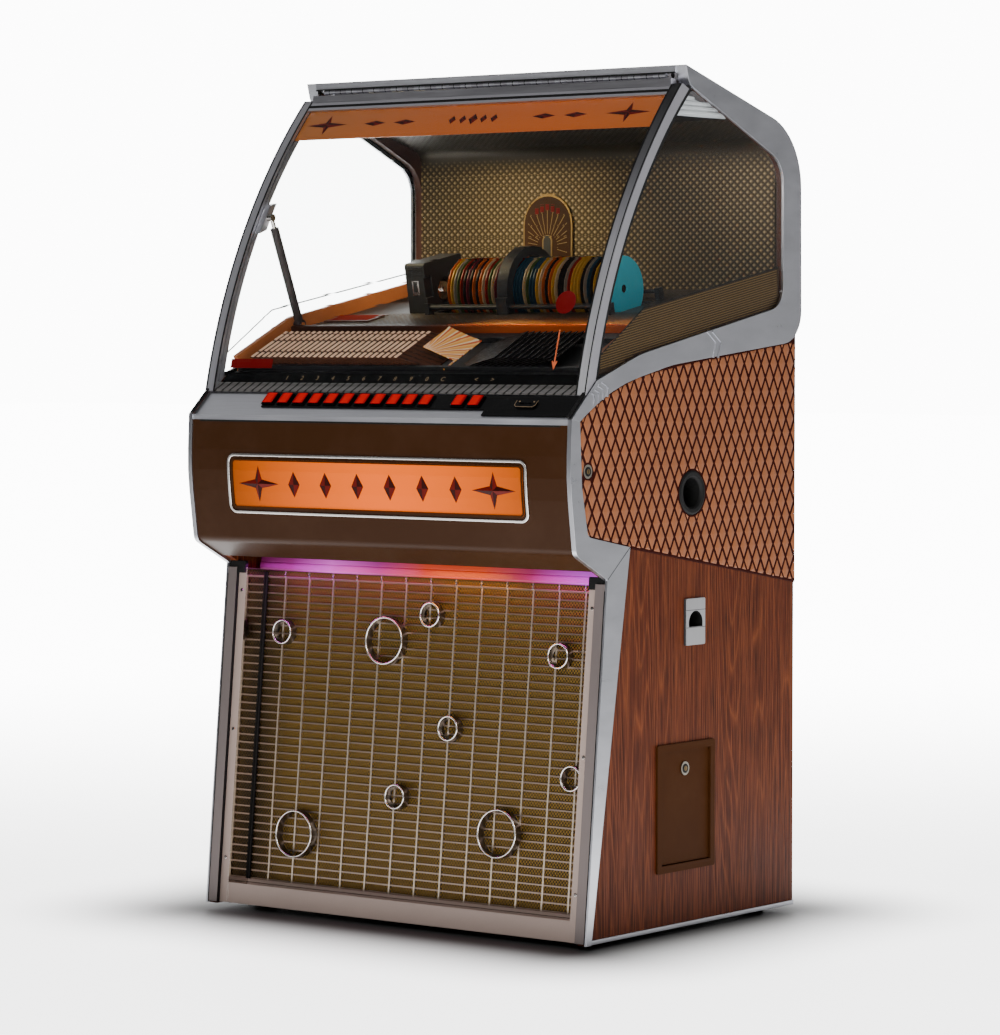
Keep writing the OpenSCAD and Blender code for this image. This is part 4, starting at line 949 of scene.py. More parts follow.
def build_materials():
    """All finishes of the jukebox, by name."""
    c = colours()
    trim, steel = tuple(c.trim), tuple(c.steel)
    return {
        "trim_side": brushed("satin_trim_side", trim, 0.30, (700.0, 12.0, 40.0)),
        "trim_cross": brushed("satin_trim_cross", srgb(220, 221, 228), 0.40, CROSSWISE),
        "trim_lid": brushed("satin_trim_lid", srgb(198, 197, 204), 0.40, CROSSWISE),
        "jamb": brushed("satin_jamb", srgb(164, 145, 136), 0.42, UPRIGHT, 0.94, 0.25),
        "jamb_edge": brushed("satin_jamb_edge", srgb(118, 108, 106), 0.42, UPRIGHT, 0.94, 0.6),
        "steel": brushed("polished_steel", steel, 0.16, (300.0, 300.0, 12.0), 0.94),
        "mirror": brushed("mirror_steel", (0.46, 0.42, 0.39), 0.06, (400.0, 400.0, 10.0), 0.97),
        # dark ring sides: painted shade on the chrome rings, whose front beads keep the bright
        # chrome
        "ring": brushed("ring_side_painted_shade", (0.16, 0.15, 0.15), 0.30, EVEN, 0.97),
        "rim": brushed("ring_chrome", srgb(236, 232, 228), 0.22, EVEN, 0.97),
        "ladder": ladder("ladder_bars"),
        "lid_front": lid_front("lid_arm_front"),
        "foot_rail": rib_reflection_paint("foot_rail_painted_reflection"),
        "lip": lamp_light_painted_lip("deck_lip_painted_lamp_light"),
        "cover_print": moulded("cover_print", srgb(104, 38, 34), 0.9, 300.0, 0.02, 0.0),
        "rung": brushed("grille_rung", srgb(158, 138, 124), 0.34, (12.0, 300.0, 300.0), 0.9),
        "wood": veneer("walnut_veneer"),
        "inner_wood": moulded("bay_board_paint", srgb(168, 96, 54), 0.5, 500.0, 0.06),
        "inner_frame": moulded("window_frame_paint", srgb(58, 32, 24), 0.4, 500.0, 0.06),
        "board": moulded("black_board_stain", srgb(12, 10, 9), 0.7, 300.0, 0.2, 0.08),
        "pad": padding("padded_laminate", c.pad, c.pad_line),
        "pad_line": moulded("pad_line_laminate", c.pad_line, 0.6, 700.0, 0.1, 0.04),
        "glass": clear("clear_pane"),
        "plate": lit("lit_name_plate", srgb(222, 92, 0), srgb(126, 56, 0), 0.44, 0.02, 0.36),
        "header": lit("lit_header", srgb(170, 80, 22), srgb(150, 86, 36), 0.20, 0.12, 0.52),
        "glow": glow_strip("light_rail_glow", 0.6335),
        "glow_lip": glow_strip("light_rail_lip_glow", 0.70),
        "nose": moulded("nose_enamel", c.nose, 0.42, 400.0, 0.04, 0.14),
        "door": moulded("door_enamel", srgb(55, 29, 9), 0.5, 900.0, 0.12, 0.03),
        "black": moulded("black_moulding", c.black, 0.42),
        "gloss_black": moulded("selector_acrylic", srgb(3, 3, 4), 0.2, 300.0, 0.02, 0.06),
        "rubber": moulded("glide_rubber", srgb(26, 26, 26), 0.75, 500.0, 0.2),
        "wall": rolled_sheet("rolled_wall", tuple(c.gold), 0.40, 0.60),
        "deck": rolled_sheet("rolled_deck", srgb(84, 66, 54), 0.50, 0.6),
        "mesh": woven("woven_cloth"),
        "metal": moulded("powder_coat", srgb(44, 44, 46), 0.55, 700.0, 0.2),
        "coin_steel": brushed(
            "coin_plate_steel", srgb(190, 190, 192), 0.36, (300.0, 300.0, 20.0), 0.95
        ),
        "brass": brushed("lock_plate", srgb(156, 150, 138), 0.3, (300.0, 300.0, 300.0), 0.9),
        "stay": moulded("stay_paint", srgb(50, 42, 42), 0.4, 400.0, 0.06),
        "lamp_cover": moulded("lamp_cover_paint", srgb(196, 198, 202), 0.5, 400.0, 0.05),
        "print_band": moulded("pane_band", srgb(50, 38, 27), 0.5, 300.0, 0.03, 0.1),
        "gasket": moulded("window_gasket", srgb(8, 8, 8), 0.6, 500.0, 0.1, 0.2),
        "disc": disc_paint("printed_discs"),
        "page": card("title_cards", srgb(72, 41, 28), srgb(28, 15, 11), 0.011),
        "tab": moulded("title_tabs", srgb(246, 196, 164), 0.5, 300.0, 0.05),
        "poster": poster("turning_card"),
        "button": lamp_button("button_red"),
        "star": moulded("star_dark", c.star, 0.4, 300.0, 0.03, 0.1),
        # lighter copy of the star colour: the painted light tone of the stars' facets
        "star_painted_lit_facet": moulded("star_painted_lit_facet", srgb(84, 12, 6), 0.4, 300.0, 0.03, 0.1),
        "print": moulded("pale_print", srgb(124, 104, 80), 0.5, 200.0, 0.02),
        "gold_print": brushed("gold_print", srgb(132, 108, 70), 0.35, EVEN),
        "decal": moulded("red_decal", srgb(88, 6, 8), 0.4, 300.0, 0.03, 0.1),
        "copper_print": moulded("copper_print", srgb(190, 92, 56), 0.4, 300.0, 0.03, 0.2),
    }


# Materials by the names that the pieces use
FINISHES = {}
FLOOR_HALF = 40.0
FLOOR_GREY = (0.90, 0.90, 0.90)
SKY_LEVEL = 12.0
# Share of the sky's light from in front of the cabinet to behind it
SKY_STOPS = (
    (0.0, 0.0034), (0.50, 0.0052), (0.60, 0.010), (0.70, 0.045), (0.90, 0.05), (0.965, 0.20),
    (0.988, 1.0),
)
# Camera of the main view, and the level ways from it to the back and to its right
CAMERA_PLACE = (4.37788, -5.61239, 1.04450)
CAMERA_WAY = (-0.6134, 0.7885, -0.0459)
CAMERA_LENS, CAMERA_SENSOR = 136.1, 36.0
BACKWARD = (-0.6134, 0.7885, 0.0)
SIDEWAYS = (0.7885, 0.6134, 0.0)
# Lamps: name, place, aim, watts, size, colour and spread in degrees
LAMPS = [
    ("key", (2.6, -5.2, 3.6), (0, 0, 0.7), 185, 1.6, (1, 0.98, 0.95)),
    ("side", (4.6, 0.6, 2.4), (0.3, 0, 0.7), 34, 1.8, (1, 1, 1)),
    ("top", (0.1, 1.2, 3.9), (0, 0, 1.0), 25, 1.6, (1, 1, 1)),
    ("bay_left", (-0.26, -0.02, 1.40), (-0.24, 0.27, 1.14), 1.7, 0.25, (1, 0.82, 0.46), 95),
    ("bay_right", (0.2, -0.02, 1.40), (0.2, 0.25, 1.1), 0.80, 0.30, (1, 0.93, 0.86)),
    (
        "deck_glow", (0.16, -0.100, 1.105), (0.16, -0.060, 1.060), 4.4, (0.36, 0.02),
        (1, 0.40, 0.06), 80,
    ),
]
SPILLS = {
    -0.33: (0.75, 0.05, 0.8), -0.12: (0.9, 0.12, 0.35),
    0.08: (1, 0.36, 0.06), 0.30: (0.85, 0.06, 0.55),
}
LAMPS += [
    (f"grille_spill_{x:+.2f}", (x, -0.233, 0.630), (x, -0.195, 0.45), 0.15, (0.18, 0.012), colour)
    for x, colour in SPILLS.items()
]


def dress(node, finish):
    """Gives a solid its finish."""
    mesh = NODES[node].data
    mesh.materials.clear()
    mesh.materials.append(FINISHES[finish])


class JUKEBOX_OT_finishes(bpy.types.Operator):
    """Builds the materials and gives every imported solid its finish"""

    bl_idname = "jukebox.finishes"
    bl_label = "Finishes"

    def execute(self, context):
        FINISHES.update(build_materials())
        table = {
            "wood": ["side_board_left", "side_board_right"],
            "inner_wood": ["inner_boards"],
            "board": ["base_board", "rear_panel", "speaker_baffle"],
            "trim_side": ["hood_trims", "front_trims"],
            "trim_cross": ["roof_rail", "fascia", "lid_frame", "roof_shell"],
            "mirror": ["grille_surround"],
            "steel": ["plate_bezel", "disc_spindle", "stay_rod"],
            "coin_steel": ["coin_return"],
            "brass": ["cash_lock", "side_lock"],
            "ring": ["grille_rings"],
            "ladder": ["grille"],
            "pad_line": ["side_pads"],
            "glass": ["side_windows", "lid_glass"],
            "plate": ["name_plate"],
            "header": ["header_strip"],
            "glow": ["light_rail"],
            "nose": ["nose_panel"],
            "door": ["cash_door", "cash_door_frame"],
            "gloss_black": ["selector_panel", "number_strip"],
            "gasket": ["grip_cups"],
            "black": ["title_deck", "player_housing", "disc_rack", "pick_carriage"],
            "stay": ["stay_tube"],
            "rubber": ["glide_feet"],
            "wall": ["back_wall"],
            "deck": ["mech_deck"],
            "mesh": ["grille_mesh"],
            "metal": ["amplifier", "cash_box"],
            "disc": ["discs"],
            "page": ["title_pages"],
            "poster": ["turning_page"],
            "button": BUTTONS,
        }
        for finish, nodes in table.items():
            for node in nodes:
                dress(node, finish)
        return {"FINISHED"}


class JUKEBOX_OT_stage(bpy.types.Operator):
    """Adds the floor, the studio lamps and the camera"""

    bl_idname = "jukebox.stage"
    bl_label = "Stage"

    def execute(self, context):
        scene = context.scene
        bm = bmesh.new()
        bmesh.ops.create_grid(bm, x_segments=2, y_segments=2, size=FLOOR_HALF)
        mesh = bpy.data.meshes.new("floor")
        bm.to_mesh(mesh)
        bm.free()
        floor = bpy.data.objects.new("floor", mesh)
        scene.collection.objects.link(floor)
        mesh.materials.append(self.floor_paint())

        self.sky(scene)
        for lamp in LAMPS:
            self.lamp(*lamp)
        camera = bpy.data.cameras.new("camera")
        camera.sensor_width = CAMERA_SENSOR
        camera.lens = CAMERA_LENS
        camera.clip_end = 200.0
        eye = bpy.data.objects.new("camera", camera)
        eye.location = CAMERA_PLACE
        eye.rotation_euler = Vector(CAMERA_WAY).to_track_quat("-Z", "Y").to_euler()
        scene.collection.objects.link(eye)
        scene.camera = eye
        return {"FINISHED"}

    def fall_off(self, tree, way):
        """Light of the studio by its direction: white behind the cabinet, dim in front of it."""
        toward = wire(
            tree, "ShaderNodeVectorMath", {1: BACKWARD}, {0: way}, operation="DOT_PRODUCT"
        )
        level = wire(
            tree, "ShaderNodeMapRange", {"From Min": -1.0, "From Max": 1.0},
            {"Value": toward.outputs["Value"]},
        )
        shade = wire(tree, "ShaderNodeValToRGB", links={"Fac": level.outputs[0]})
        fill_ramp(shade.color_ramp, [(place, (grey, grey, grey)) for place, grey in SKY_STOPS])
        return shade.outputs["Color"]

    def sky(self, scene):
        """White sky behind the cabinet that falls off to a dim studio in front of it."""
        world = bpy.data.worlds.new("studio")
        scene.world = world
        world.use_nodes = True
        tree = world.node_tree
        back = tree.nodes["Background"]
        back.inputs["Strength"].default_value = SKY_LEVEL
        way = wire(tree, "ShaderNodeTexCoord").outputs["Generated"]
        tree.links.new(self.fall_off(tree, way), back.inputs["Color"])

    def floor_paint(self):
        """Pale floor with a painted shadow close under the cabinet, and the sky's light behind it.
        """
        f = Finish(
            "floor_paint", FLOOR_GREY, 0.7, emission_strength=SKY_LEVEL, specular_ior_level=0.2
        )
        grain = f.noise(f.place, Scale=3.0, Detail=3.0)
        depth = f.along(f.place, BACKWARD)
        far = f.ease(depth, 0.2, 5.5, 0.30, 1.0)
        aside = f.along(f.place, SIDEWAYS)
        wide = f.plus(f.times(f.math("MAXIMUM", depth, 0.0), 0.16), 1.0)
        off = f.over(f.math("ABSOLUTE", aside), wide)
        skirt = f.ease(off, 0.95, 5.0, 0.26, 0.06)
        far = f.times(far, f.math("MAXIMUM", f.ease(off, 0.95, 1.7, 1.0, 0.0), skirt))
        beside = [
            f.math("MAXIMUM", f.minus(f.math("ABSOLUTE", f.axis(i)), half), 0.0)
            for i, half in enumerate((0.40, 0.30))
        ]
        squares = [f.math("POWER", way, 2.0) for way in beside]
        apart = f.math("SQRT", f.plus(*squares))
        # painted shadow: the floor's glow fades out close to the cabinet
        glow = f.times(far, f.ease(apart, 0.02, 0.45, 0.0, 1.0))
        # painted shadow: the floor's colour goes dark close to the cabinet
        painted_contact_shadow = f.ease(apart, 0.0, 0.40, 0.0, 1.0)
        f.feed(
            base_color=f.mix(painted_contact_shadow, (0.05, 0.05, 0.05), FLOOR_GREY),
            roughness=f.span(grain, 0.6, 0.8),
            emission_color=f.mix(glow, (0.0, 0.0, 0.0), (1.0, 1.0, 1.0)),
        )
        return f.material

    def lamp(self, name, place, target, watts, size, colour, spread=180):
        data = bpy.data.lights.new(name, "AREA")
        data.energy = watts
        data.spread = math.radians(spread)
        if isinstance(size, tuple):
            data.shape = "RECTANGLE"
            data.size, data.size_y = size
        else:
            data.size = size
        data.color = colour
        lamp = bpy.data.objects.new(name, data)
        lamp.location = place
        lamp.rotation_euler = (Vector(target) - Vector(place)).to_track_quat("-Z", "Y").to_euler()
        bpy.context.scene.collection.objects.link(lamp)


# Outline of the padded side panel, in metres front to back and up
PAD_EDGE = [
    SEAM_FRONT, (-0.3010, 0.707), (-0.318, 0.791), (-0.324, 0.903), (-0.2855, 0.9275),
    (-0.237, 0.9497), (-0.195, 0.9655), (-0.150, 0.9785), (-0.100, 0.988), (-0.040, 0.9958),
    (0.030, 1.0045), (BACK_Y, 1.0385), SEAM_BACK,
]
# Round fittings that the padding leaves clear: place and radius
GRIP = (0.008, 0.773, 0.0398)
SIDE_LOCK = (-0.298, 0.818, 0.0125)
PAD_HOLES = {1: [GRIP, SIDE_LOCK], -1: [GRIP]}
PAD_FACE = 0.4325
PAD_RISE = 0.0002
LATTICE_CELLS = 44
LATTICE_CENTRE = (0.008, 0.798, 0)
SLIVER_AREA = 4e-5


class JUKEBOX_OT_padding(bpy.types.Operator):
    """Covers the upper sides with a lattice of padded diamonds"""

    bl_idname = "jukebox.padding"
    bl_label = "Side padding"

    def execute(self, context):
        s = sizes()
        for sign, side in ((1, "right"), (-1, "left")):
            bm = bmesh.new()
            bmesh.ops.create_grid(
                bm, x_segments=LATTICE_CELLS, y_segments=LATTICE_CELLS, size=LATTICE_CELLS / 2
            )
            bmesh.ops.rotate(bm, matrix=Matrix.Rotation(math.pi / 4, 3, "Z"), verts=bm.verts)
            cross = math.sqrt(2)
            bmesh.ops.scale(bm, vec=(s.diamond_w / cross, s.diamond_h / cross, 1), verts=bm.verts)
            bmesh.ops.translate(bm, vec=LATTICE_CENTRE, verts=bm.verts)
            self.trim(bm)
            bmesh.ops.split_edges(bm, edges=bm.edges)
            for hole in PAD_HOLES[sign]:
                self.clear_hole(bm, hole)
            small = [f for f in bm.faces if f.calc_area() < SLIVER_AREA]
            bmesh.ops.delete(bm, geom=small, context="FACES")
            self.puff(bm, s)
            bmesh.ops.transform(bm, matrix=on_side(sign, PAD_FACE + PAD_RISE), verts=bm.verts)
            bmesh.ops.recalc_face_normals(bm, faces=bm.faces)
            outward = sum(f.normal.x * f.calc_area() for f in bm.faces)
            if outward * sign < 0:
                bmesh.ops.reverse_faces(bm, faces=bm.faces)
            name = f"pad_diamonds_{side}"
            finish_piece(name, bm, ("pad", "pad_line"), CABINET, 0)
        return {"FINISHED"}

    def trim(self, bm):
        """Cuts the lattice to the panel's outline, edge by edge."""
        for a, b in zip(PAD_EDGE, PAD_EDGE[1:] + PAD_EDGE[:1]):
            run = Vector((b[0] - a[0], b[1] - a[1], 0)).normalized()
            outward = Vector((-run.y, run.x, 0))
            bmesh.ops.bisect_plane(
                bm, geom=bm.verts[:] + bm.edges[:] + bm.faces[:], dist=1e-7,
                plane_co=(a[0], a[1], 0), plane_no=outward, clear_outer=True,
            )

    def clear_hole(self, bm, hole):
        """Cuts each diamond near a round fitting along the fitting's tangent."""
        centre, radius = Vector((hole[0], hole[1], 0)), hole[2]
        near = [f for f in bm.faces if (f.calc_center_median() - centre).length < radius + 0.03]
        for face in near:
            way = face.calc_center_median() - centre
            way = way.normalized() if way.length > 1e-6 else Vector((1, 0, 0))
            bmesh.ops.bisect_plane(
                bm, geom=[*face.verts, *face.edges, face], dist=1e-7,
                plane_co=centre + way * radius, plane_no=way, clear_inner=True,
            )

    def puff(self, bm, s):
        """Sinks a line round each diamond and raises its centre to a low point."""
        faces = bm.faces[:]
        for face in self.step_in(bm, faces, s.diamond_line, 0.0):
            face.material_index = 1
        crown = self.step_in(bm, faces, s.diamond_line * 0.7, s.diamond_puff * 0.45)
        tops = bmesh.ops.poke(bm, faces=faces, offset=s.diamond_puff * 0.55)["faces"]
        for face in list(crown) + list(tops):
            face.material_index = 0

    def step_in(self, bm, faces, line, rise):
        """Shrinks each face by a line's width, lifts it, and returns the faces round it."""
        ring = bmesh.ops.inset_individual(bm, faces=faces, thickness=1e-6, depth=rise)["faces"]
        for face in faces:
            half = 2 * face.calc_area() / face.calc_perimeter()
            centre = face.calc_center_median()
            for vert in face.verts:
                vert.co = centre + (vert.co - centre) * (1 - min(line / half, 0.4))
        return ring


RIBBON_FACE = X_OUT - 0.0005
FIN_START, FIN_STEP = (-0.2843, 0.9466), (0.0128, 0.0047)


def seam_line(y):
    """Height of the seam under the padding."""
    share = (y - SEAM_FRONT[0]) / (SEAM_BACK[0] - SEAM_FRONT[0])
    return SEAM_FRONT[1] + share * (SEAM_BACK[1] - SEAM_FRONT[1])


class JUKEBOX_OT_side_trim(bpy.types.Operator):
    """Adds the seam bead, bottom edging, trim clips and corner fins on the sides"""

    bl_idname = "jukebox.side_trim"
    bl_label = "Side trim"

    def execute(self, context):
        s = sizes()
        bm = bmesh.new()
        for sign in (1, -1):
            self.seam(bm, sign, s.bead_r)
        finish_piece("seam_beads", bm, ("pad_line",), CABINET)
        bm = bmesh.new()
        for sign in (1, -1):
            side = on_side(sign, BOARD_FACE)
            bar(bm, side, (-0.288, 0.0102, 0), (BACK_Y, 0.018, 0.0030), 0.0008)
            self.clip(bm, sign)
            self.fins(bm, sign)
            self.joints(bm, sign)
        bmesh.ops.recalc_face_normals(bm, faces=bm.faces)
        finish_piece("side_edging", bm, ("trim_side", "black"), CABINET)
        return {"FINISHED"}

    def seam(self, bm, sign, radius):
        """Half-round bead along the seam."""
        start, stop = (Vector((y, seam_line(y))) for y in (-0.172, BACK_Y))
        turn = math.atan2(stop.y - start.y, stop.x - start.x)
        reach = (stop - start).length
        made = bmesh.ops.create_cone(
            bm, cap_ends=True, segments=16, radius1=radius, radius2=radius, depth=reach
        )
        along = Matrix.Rotation(math.pi / 2, 4, "Y")
        place = (
            on_side(sign, BOARD_FACE + 0.0005)
            @ Matrix.Translation((*start, 0))
            @ Matrix.Rotation(turn, 4, "Z")
            @ Matrix.Translation((reach / 2, 0, 0))
            @ along
        )
        grown(bm, made, place)

    def clip(self, bm, sign):
        """Bent two-bar clip across the ribbon where two lengths of trim meet."""
        side = on_side(sign, RIBBON_FACE)
        for shift in (0.0, 0.0165):
            top, knee = (0.0485 + shift, 1.0545), (0.0750 + shift, 1.0362)
            path = [top, knee, (0.0665 + shift * 0.85, 1.0098)]
            stripe(bm, side, path, 0.0034, 0.0019)
            stripe(bm, side, [(y + 0.0040, z) for y, z in path], 0.0011, 0.0008, 1)

    def fins(self, bm, sign):
        """Four bent fins stepping up the ribbon beside the selector."""
        side = on_side(sign, RIBBON_FACE)
        for i in range(4):
            y, z = FIN_START[0] + FIN_STEP[0] * i, FIN_START[1] + FIN_STEP[1] * i
            front = 0.0085 + 0.0030 * i
            path = [(y - front, z + 0.42 * front), (y, z), (y - 0.0028, z - 0.0165)]
            stripe(bm, side, path, 0.0030, 0.0021)
            stripe(bm, side, [(a + 0.0034, b) for a, b in path], 0.0010, 0.0008, 1)

    def joints(self, bm, sign):
        """Fine dark mitre under the nose."""
        side = on_side(sign, X_OUT)
        stripe(bm, side, [(-0.245, 0.631), SEAM_FRONT], 0.0012, 0.0002, 1)


# Front end of the hood trims, which stays bright
TRIM_END_Y, TRIM_END_Z = 0.03, 1.486


def hood_paint(face):
    """Painted frame behind the bright hood trims."""
    spot = face.calc_center_median()
    end = spot.z > TRIM_END_Z and spot.y < TRIM_END_Y
    return 1 if abs(spot.x) < OUTSIDE and not end else 0


# Step between the outer and the inner strip of each jamb
STEP_INNER, STEP_MIDDLE, STEP_OUTER = 0.4075, 0.4092, 0.4108


def surround_paint(face):
    """Dull outer strips, satin inner strips, black steps between them as a painted dark reflection,
    and mirror returns.
    """
    spot, way = face.calc_center_median(), face.normal
    if way.y < -0.6:
        return 3 if abs(spot.x) > STEP_MIDDLE else 1
    # painted reflection: the side faces of the steps are black for the darkness they would mirror
    return 2 if abs(way.x) > 0.7 and STEP_INNER < abs(spot.x) < STEP_OUTER else 0


# Mouth of the coin plate: its rear, its ends and its foot and head
MOUTH_X, MOUTH_Y, MOUTH_Z = 0.4335, (-0.009, 0.045), (0.507, 0.585)


def coin_paint(face):
    """Painted shade: a dark mouth in the bright coin plate."""
    spot = face.calc_center_median()
    within = MOUTH_Y[0] < spot.y < MOUTH_Y[1] and MOUTH_Z[0] < spot.z < MOUTH_Z[1]
    # painted shade inside the mouth
    return 1 if spot.x < MOUTH_X and within else 0


# Lid: inner side of its arms, strips along them, top of the foot rail, lip and head of the top rail
ARM_INNER = 0.4095
LID_STRIPS = (0.4140, 0.4285, 0.4312)
FOOT_RAIL_TOP = 0.975
LID_LIP = 0.968
TOP_RAIL_HEAD = 1.4785


def cut_lid(bm):
    """Divides the faces of the lid's arms and of its top rail where their finish changes."""
    lip, turn = on_lid(0, LID_LIP)
    planes = [((sign * x, 0, 0), (1, 0, 0)) for x in LID_STRIPS for sign in (1, -1)]
    planes.append(((0, lip.x, lip.y), (0, math.cos(turn), math.sin(turn))))
    for spot, way in planes:
        bmesh.ops.bisect_plane(
            bm, geom=bm.verts[:] + bm.edges[:] + bm.faces[:], dist=1e-7, plane_co=spot, plane_no=way
        )


def lid_paint(face):
    """Dark lines along the arms, a ribbed foot rail, and a dark top rail over a bright lip."""
    spot, way = face.calc_center_median(), face.normal
    across = abs(spot.x)
    if across > ARM_INNER:
        if way.y > -0.5:
            return 0
        return 1 if across < LID_STRIPS[0] or LID_STRIPS[1] < across < LID_STRIPS[2] else 2
    if spot.z < FOOT_RAIL_TOP:
        return 3
    return 1 if way.y < -0.5 and on_lid(0, LID_LIP)[0].y < spot.z < TOP_RAIL_HEAD else 0


class JUKEBOX_OT_eased(bpy.types.Operator):
    """Puts copies with rounded edges in place of sharp-edged bars, sheets and buttons"""

    bl_idname = "jukebox.eased"
    bl_label = "Rounded edges"

    def execute(self, context):
        ease = sizes().edge_ease
        lid_finishes = ("trim_lid", "gasket", "lid_front", "foot_rail")
        coin_finishes = ("coin_steel", "gasket")
        jambs = ("mirror", "jamb", "gasket", "jamb_edge")
        jobs = [
            ("hood_trims", ("trim_side", "inner_frame"), CABINET, "satin_trim", ease, hood_paint),
            ("front_trims", ("trim_side",), CABINET, "satin_trim", ease, None),
            ("roof_rail", ("trim_cross",), CABINET, "satin_trim", ease, None),
            ("lid_frame", lid_finishes, LID, "satin_trim", ease * 1.6, lid_paint),
            ("plate_bezel", ("rim",), CABINET, "polished_steel", ease * 1.5, None),
            ("cash_door_frame", ("door",), CABINET, "brown_paint", ease, None),
            ("cash_door", ("door",), "cash_door", "brown_paint", ease * 0.6, None),
            ("coin_return", coin_finishes, CABINET, "polished_steel", ease * 0.8, coin_paint),
            ("player_housing", ("black",), CABINET, "black_plastic", ease, None),
            ("pick_carriage", ("black",), "pick_carriage", "black_plastic", ease, None),
            ("grille_rings", ("ring",), CABINET, "polished_steel", ease, None),
            ("grille_surround", jambs, CABINET, "polished_steel", ease * 0.6, surround_paint),
        ]
        jobs += [(b, ("button",), b, "red_button", ease * 1.8, None) for b in BUTTONS]
        for node, finishes, body, slot, width, paint in jobs:
            bm = eased_copy(node, width)
            if node == "lid_frame":
                cut_lid(bm)
            if paint:
                for face in bm.faces:
                    face.material_index = paint(face)
            finish_piece(f"{node}_eased", bm, finishes, body, 35.0, (node,))
        return {"FINISHED"}


def lettering(text, height, matrix, depth):
    """Mesh of a line of plain figures, centred on a frame's origin."""
    curve = bpy.data.curves.new("figures", "FONT")
    curve.body = text
    curve.size = height * 1.38
    curve.align_x = "CENTER"
    curve.align_y = "CENTER"
    curve.extrude = depth
    curve.resolution_u = 3
    writer = bpy.data.objects.new("figures", curve)
    bpy.context.scene.collection.objects.link(writer)
    bpy.context.view_layer.update()
    seen = writer.evaluated_get(bpy.context.evaluated_depsgraph_get())
    mesh = bpy.data.meshes.new_from_object(seen)
    bpy.data.objects.remove(writer)
    bpy.data.curves.remove(curve)
    mesh.transform(matrix)
    return mesh


class JUKEBOX_OT_selector(bpy.types.Operator):
    """Adds the numbers over the buttons, the button wells and the coin panel's lines"""

    bl_idname = "jukebox.selector"
    bl_label = "Selector"

    def execute(self, context):
        s = sizes()
        strip = at(slope(STRIP_FOOT, STRIP_TURN), 0, 0.0195, 0.0004)
        bm = bmesh.new()
        labels = list("1234567890C") + ["<", ">"]
        for node, label in zip(BUTTONS, labels):
            mesh = lettering(label, s.digit_h, at(strip, middle_x(node)), 0.0002)
            bm.from_mesh(mesh)
            bpy.data.meshes.remove(mesh)
        finish_piece("strip_numbers", bm, ("print",), CABINET, 0)
        bm = bmesh.new()
        for node in BUTTONS:
            self.well(bm, middle_x(node))
        finish_piece("button_wells", bm, ("gloss_black",), CABINET)
        bm = bmesh.new()
        self.coin_lines(bm)
        finish_piece("coin_panel_lines", bm, ("print",), CABINET, 0)
        return {"FINISHED"}

    def well(self, bm, x):
        """Raised black lip round three sides of a button."""
        face = at(ON_FASCIA, x, 0.040, 0.0006)
        w, l, t, h = 0.0124, 0.0129, 0.0016, 0.0022
        bar(bm, face, (-w - t, -l - t, 0), (w + t, -l, h), 0.0005)
        for side in (-1, 1):
            side_bar(bm, face, side, (w, -l, 0), (w + t, l, h), 0.0005)

    def coin_lines(self, bm):
        """Pale outline of two keyholes' escutcheon on the coin panel."""
        panel = at(ON_FASCIA, 0.320, 0.034, 0.0037)
        left = [(-0.023, 0.0075), (-0.023, -0.004), (-0.018, -0.0085)]
        ring = left + [(-x, y) for x, y in reversed(left)]
        stripe(bm, panel, ring, 0.0009, 0.0003)
        for x in (-0.0155, 0.0155):
            disc(bm, at(panel, x, 0.0045, 0), 0.0016, 0.0004, 12)


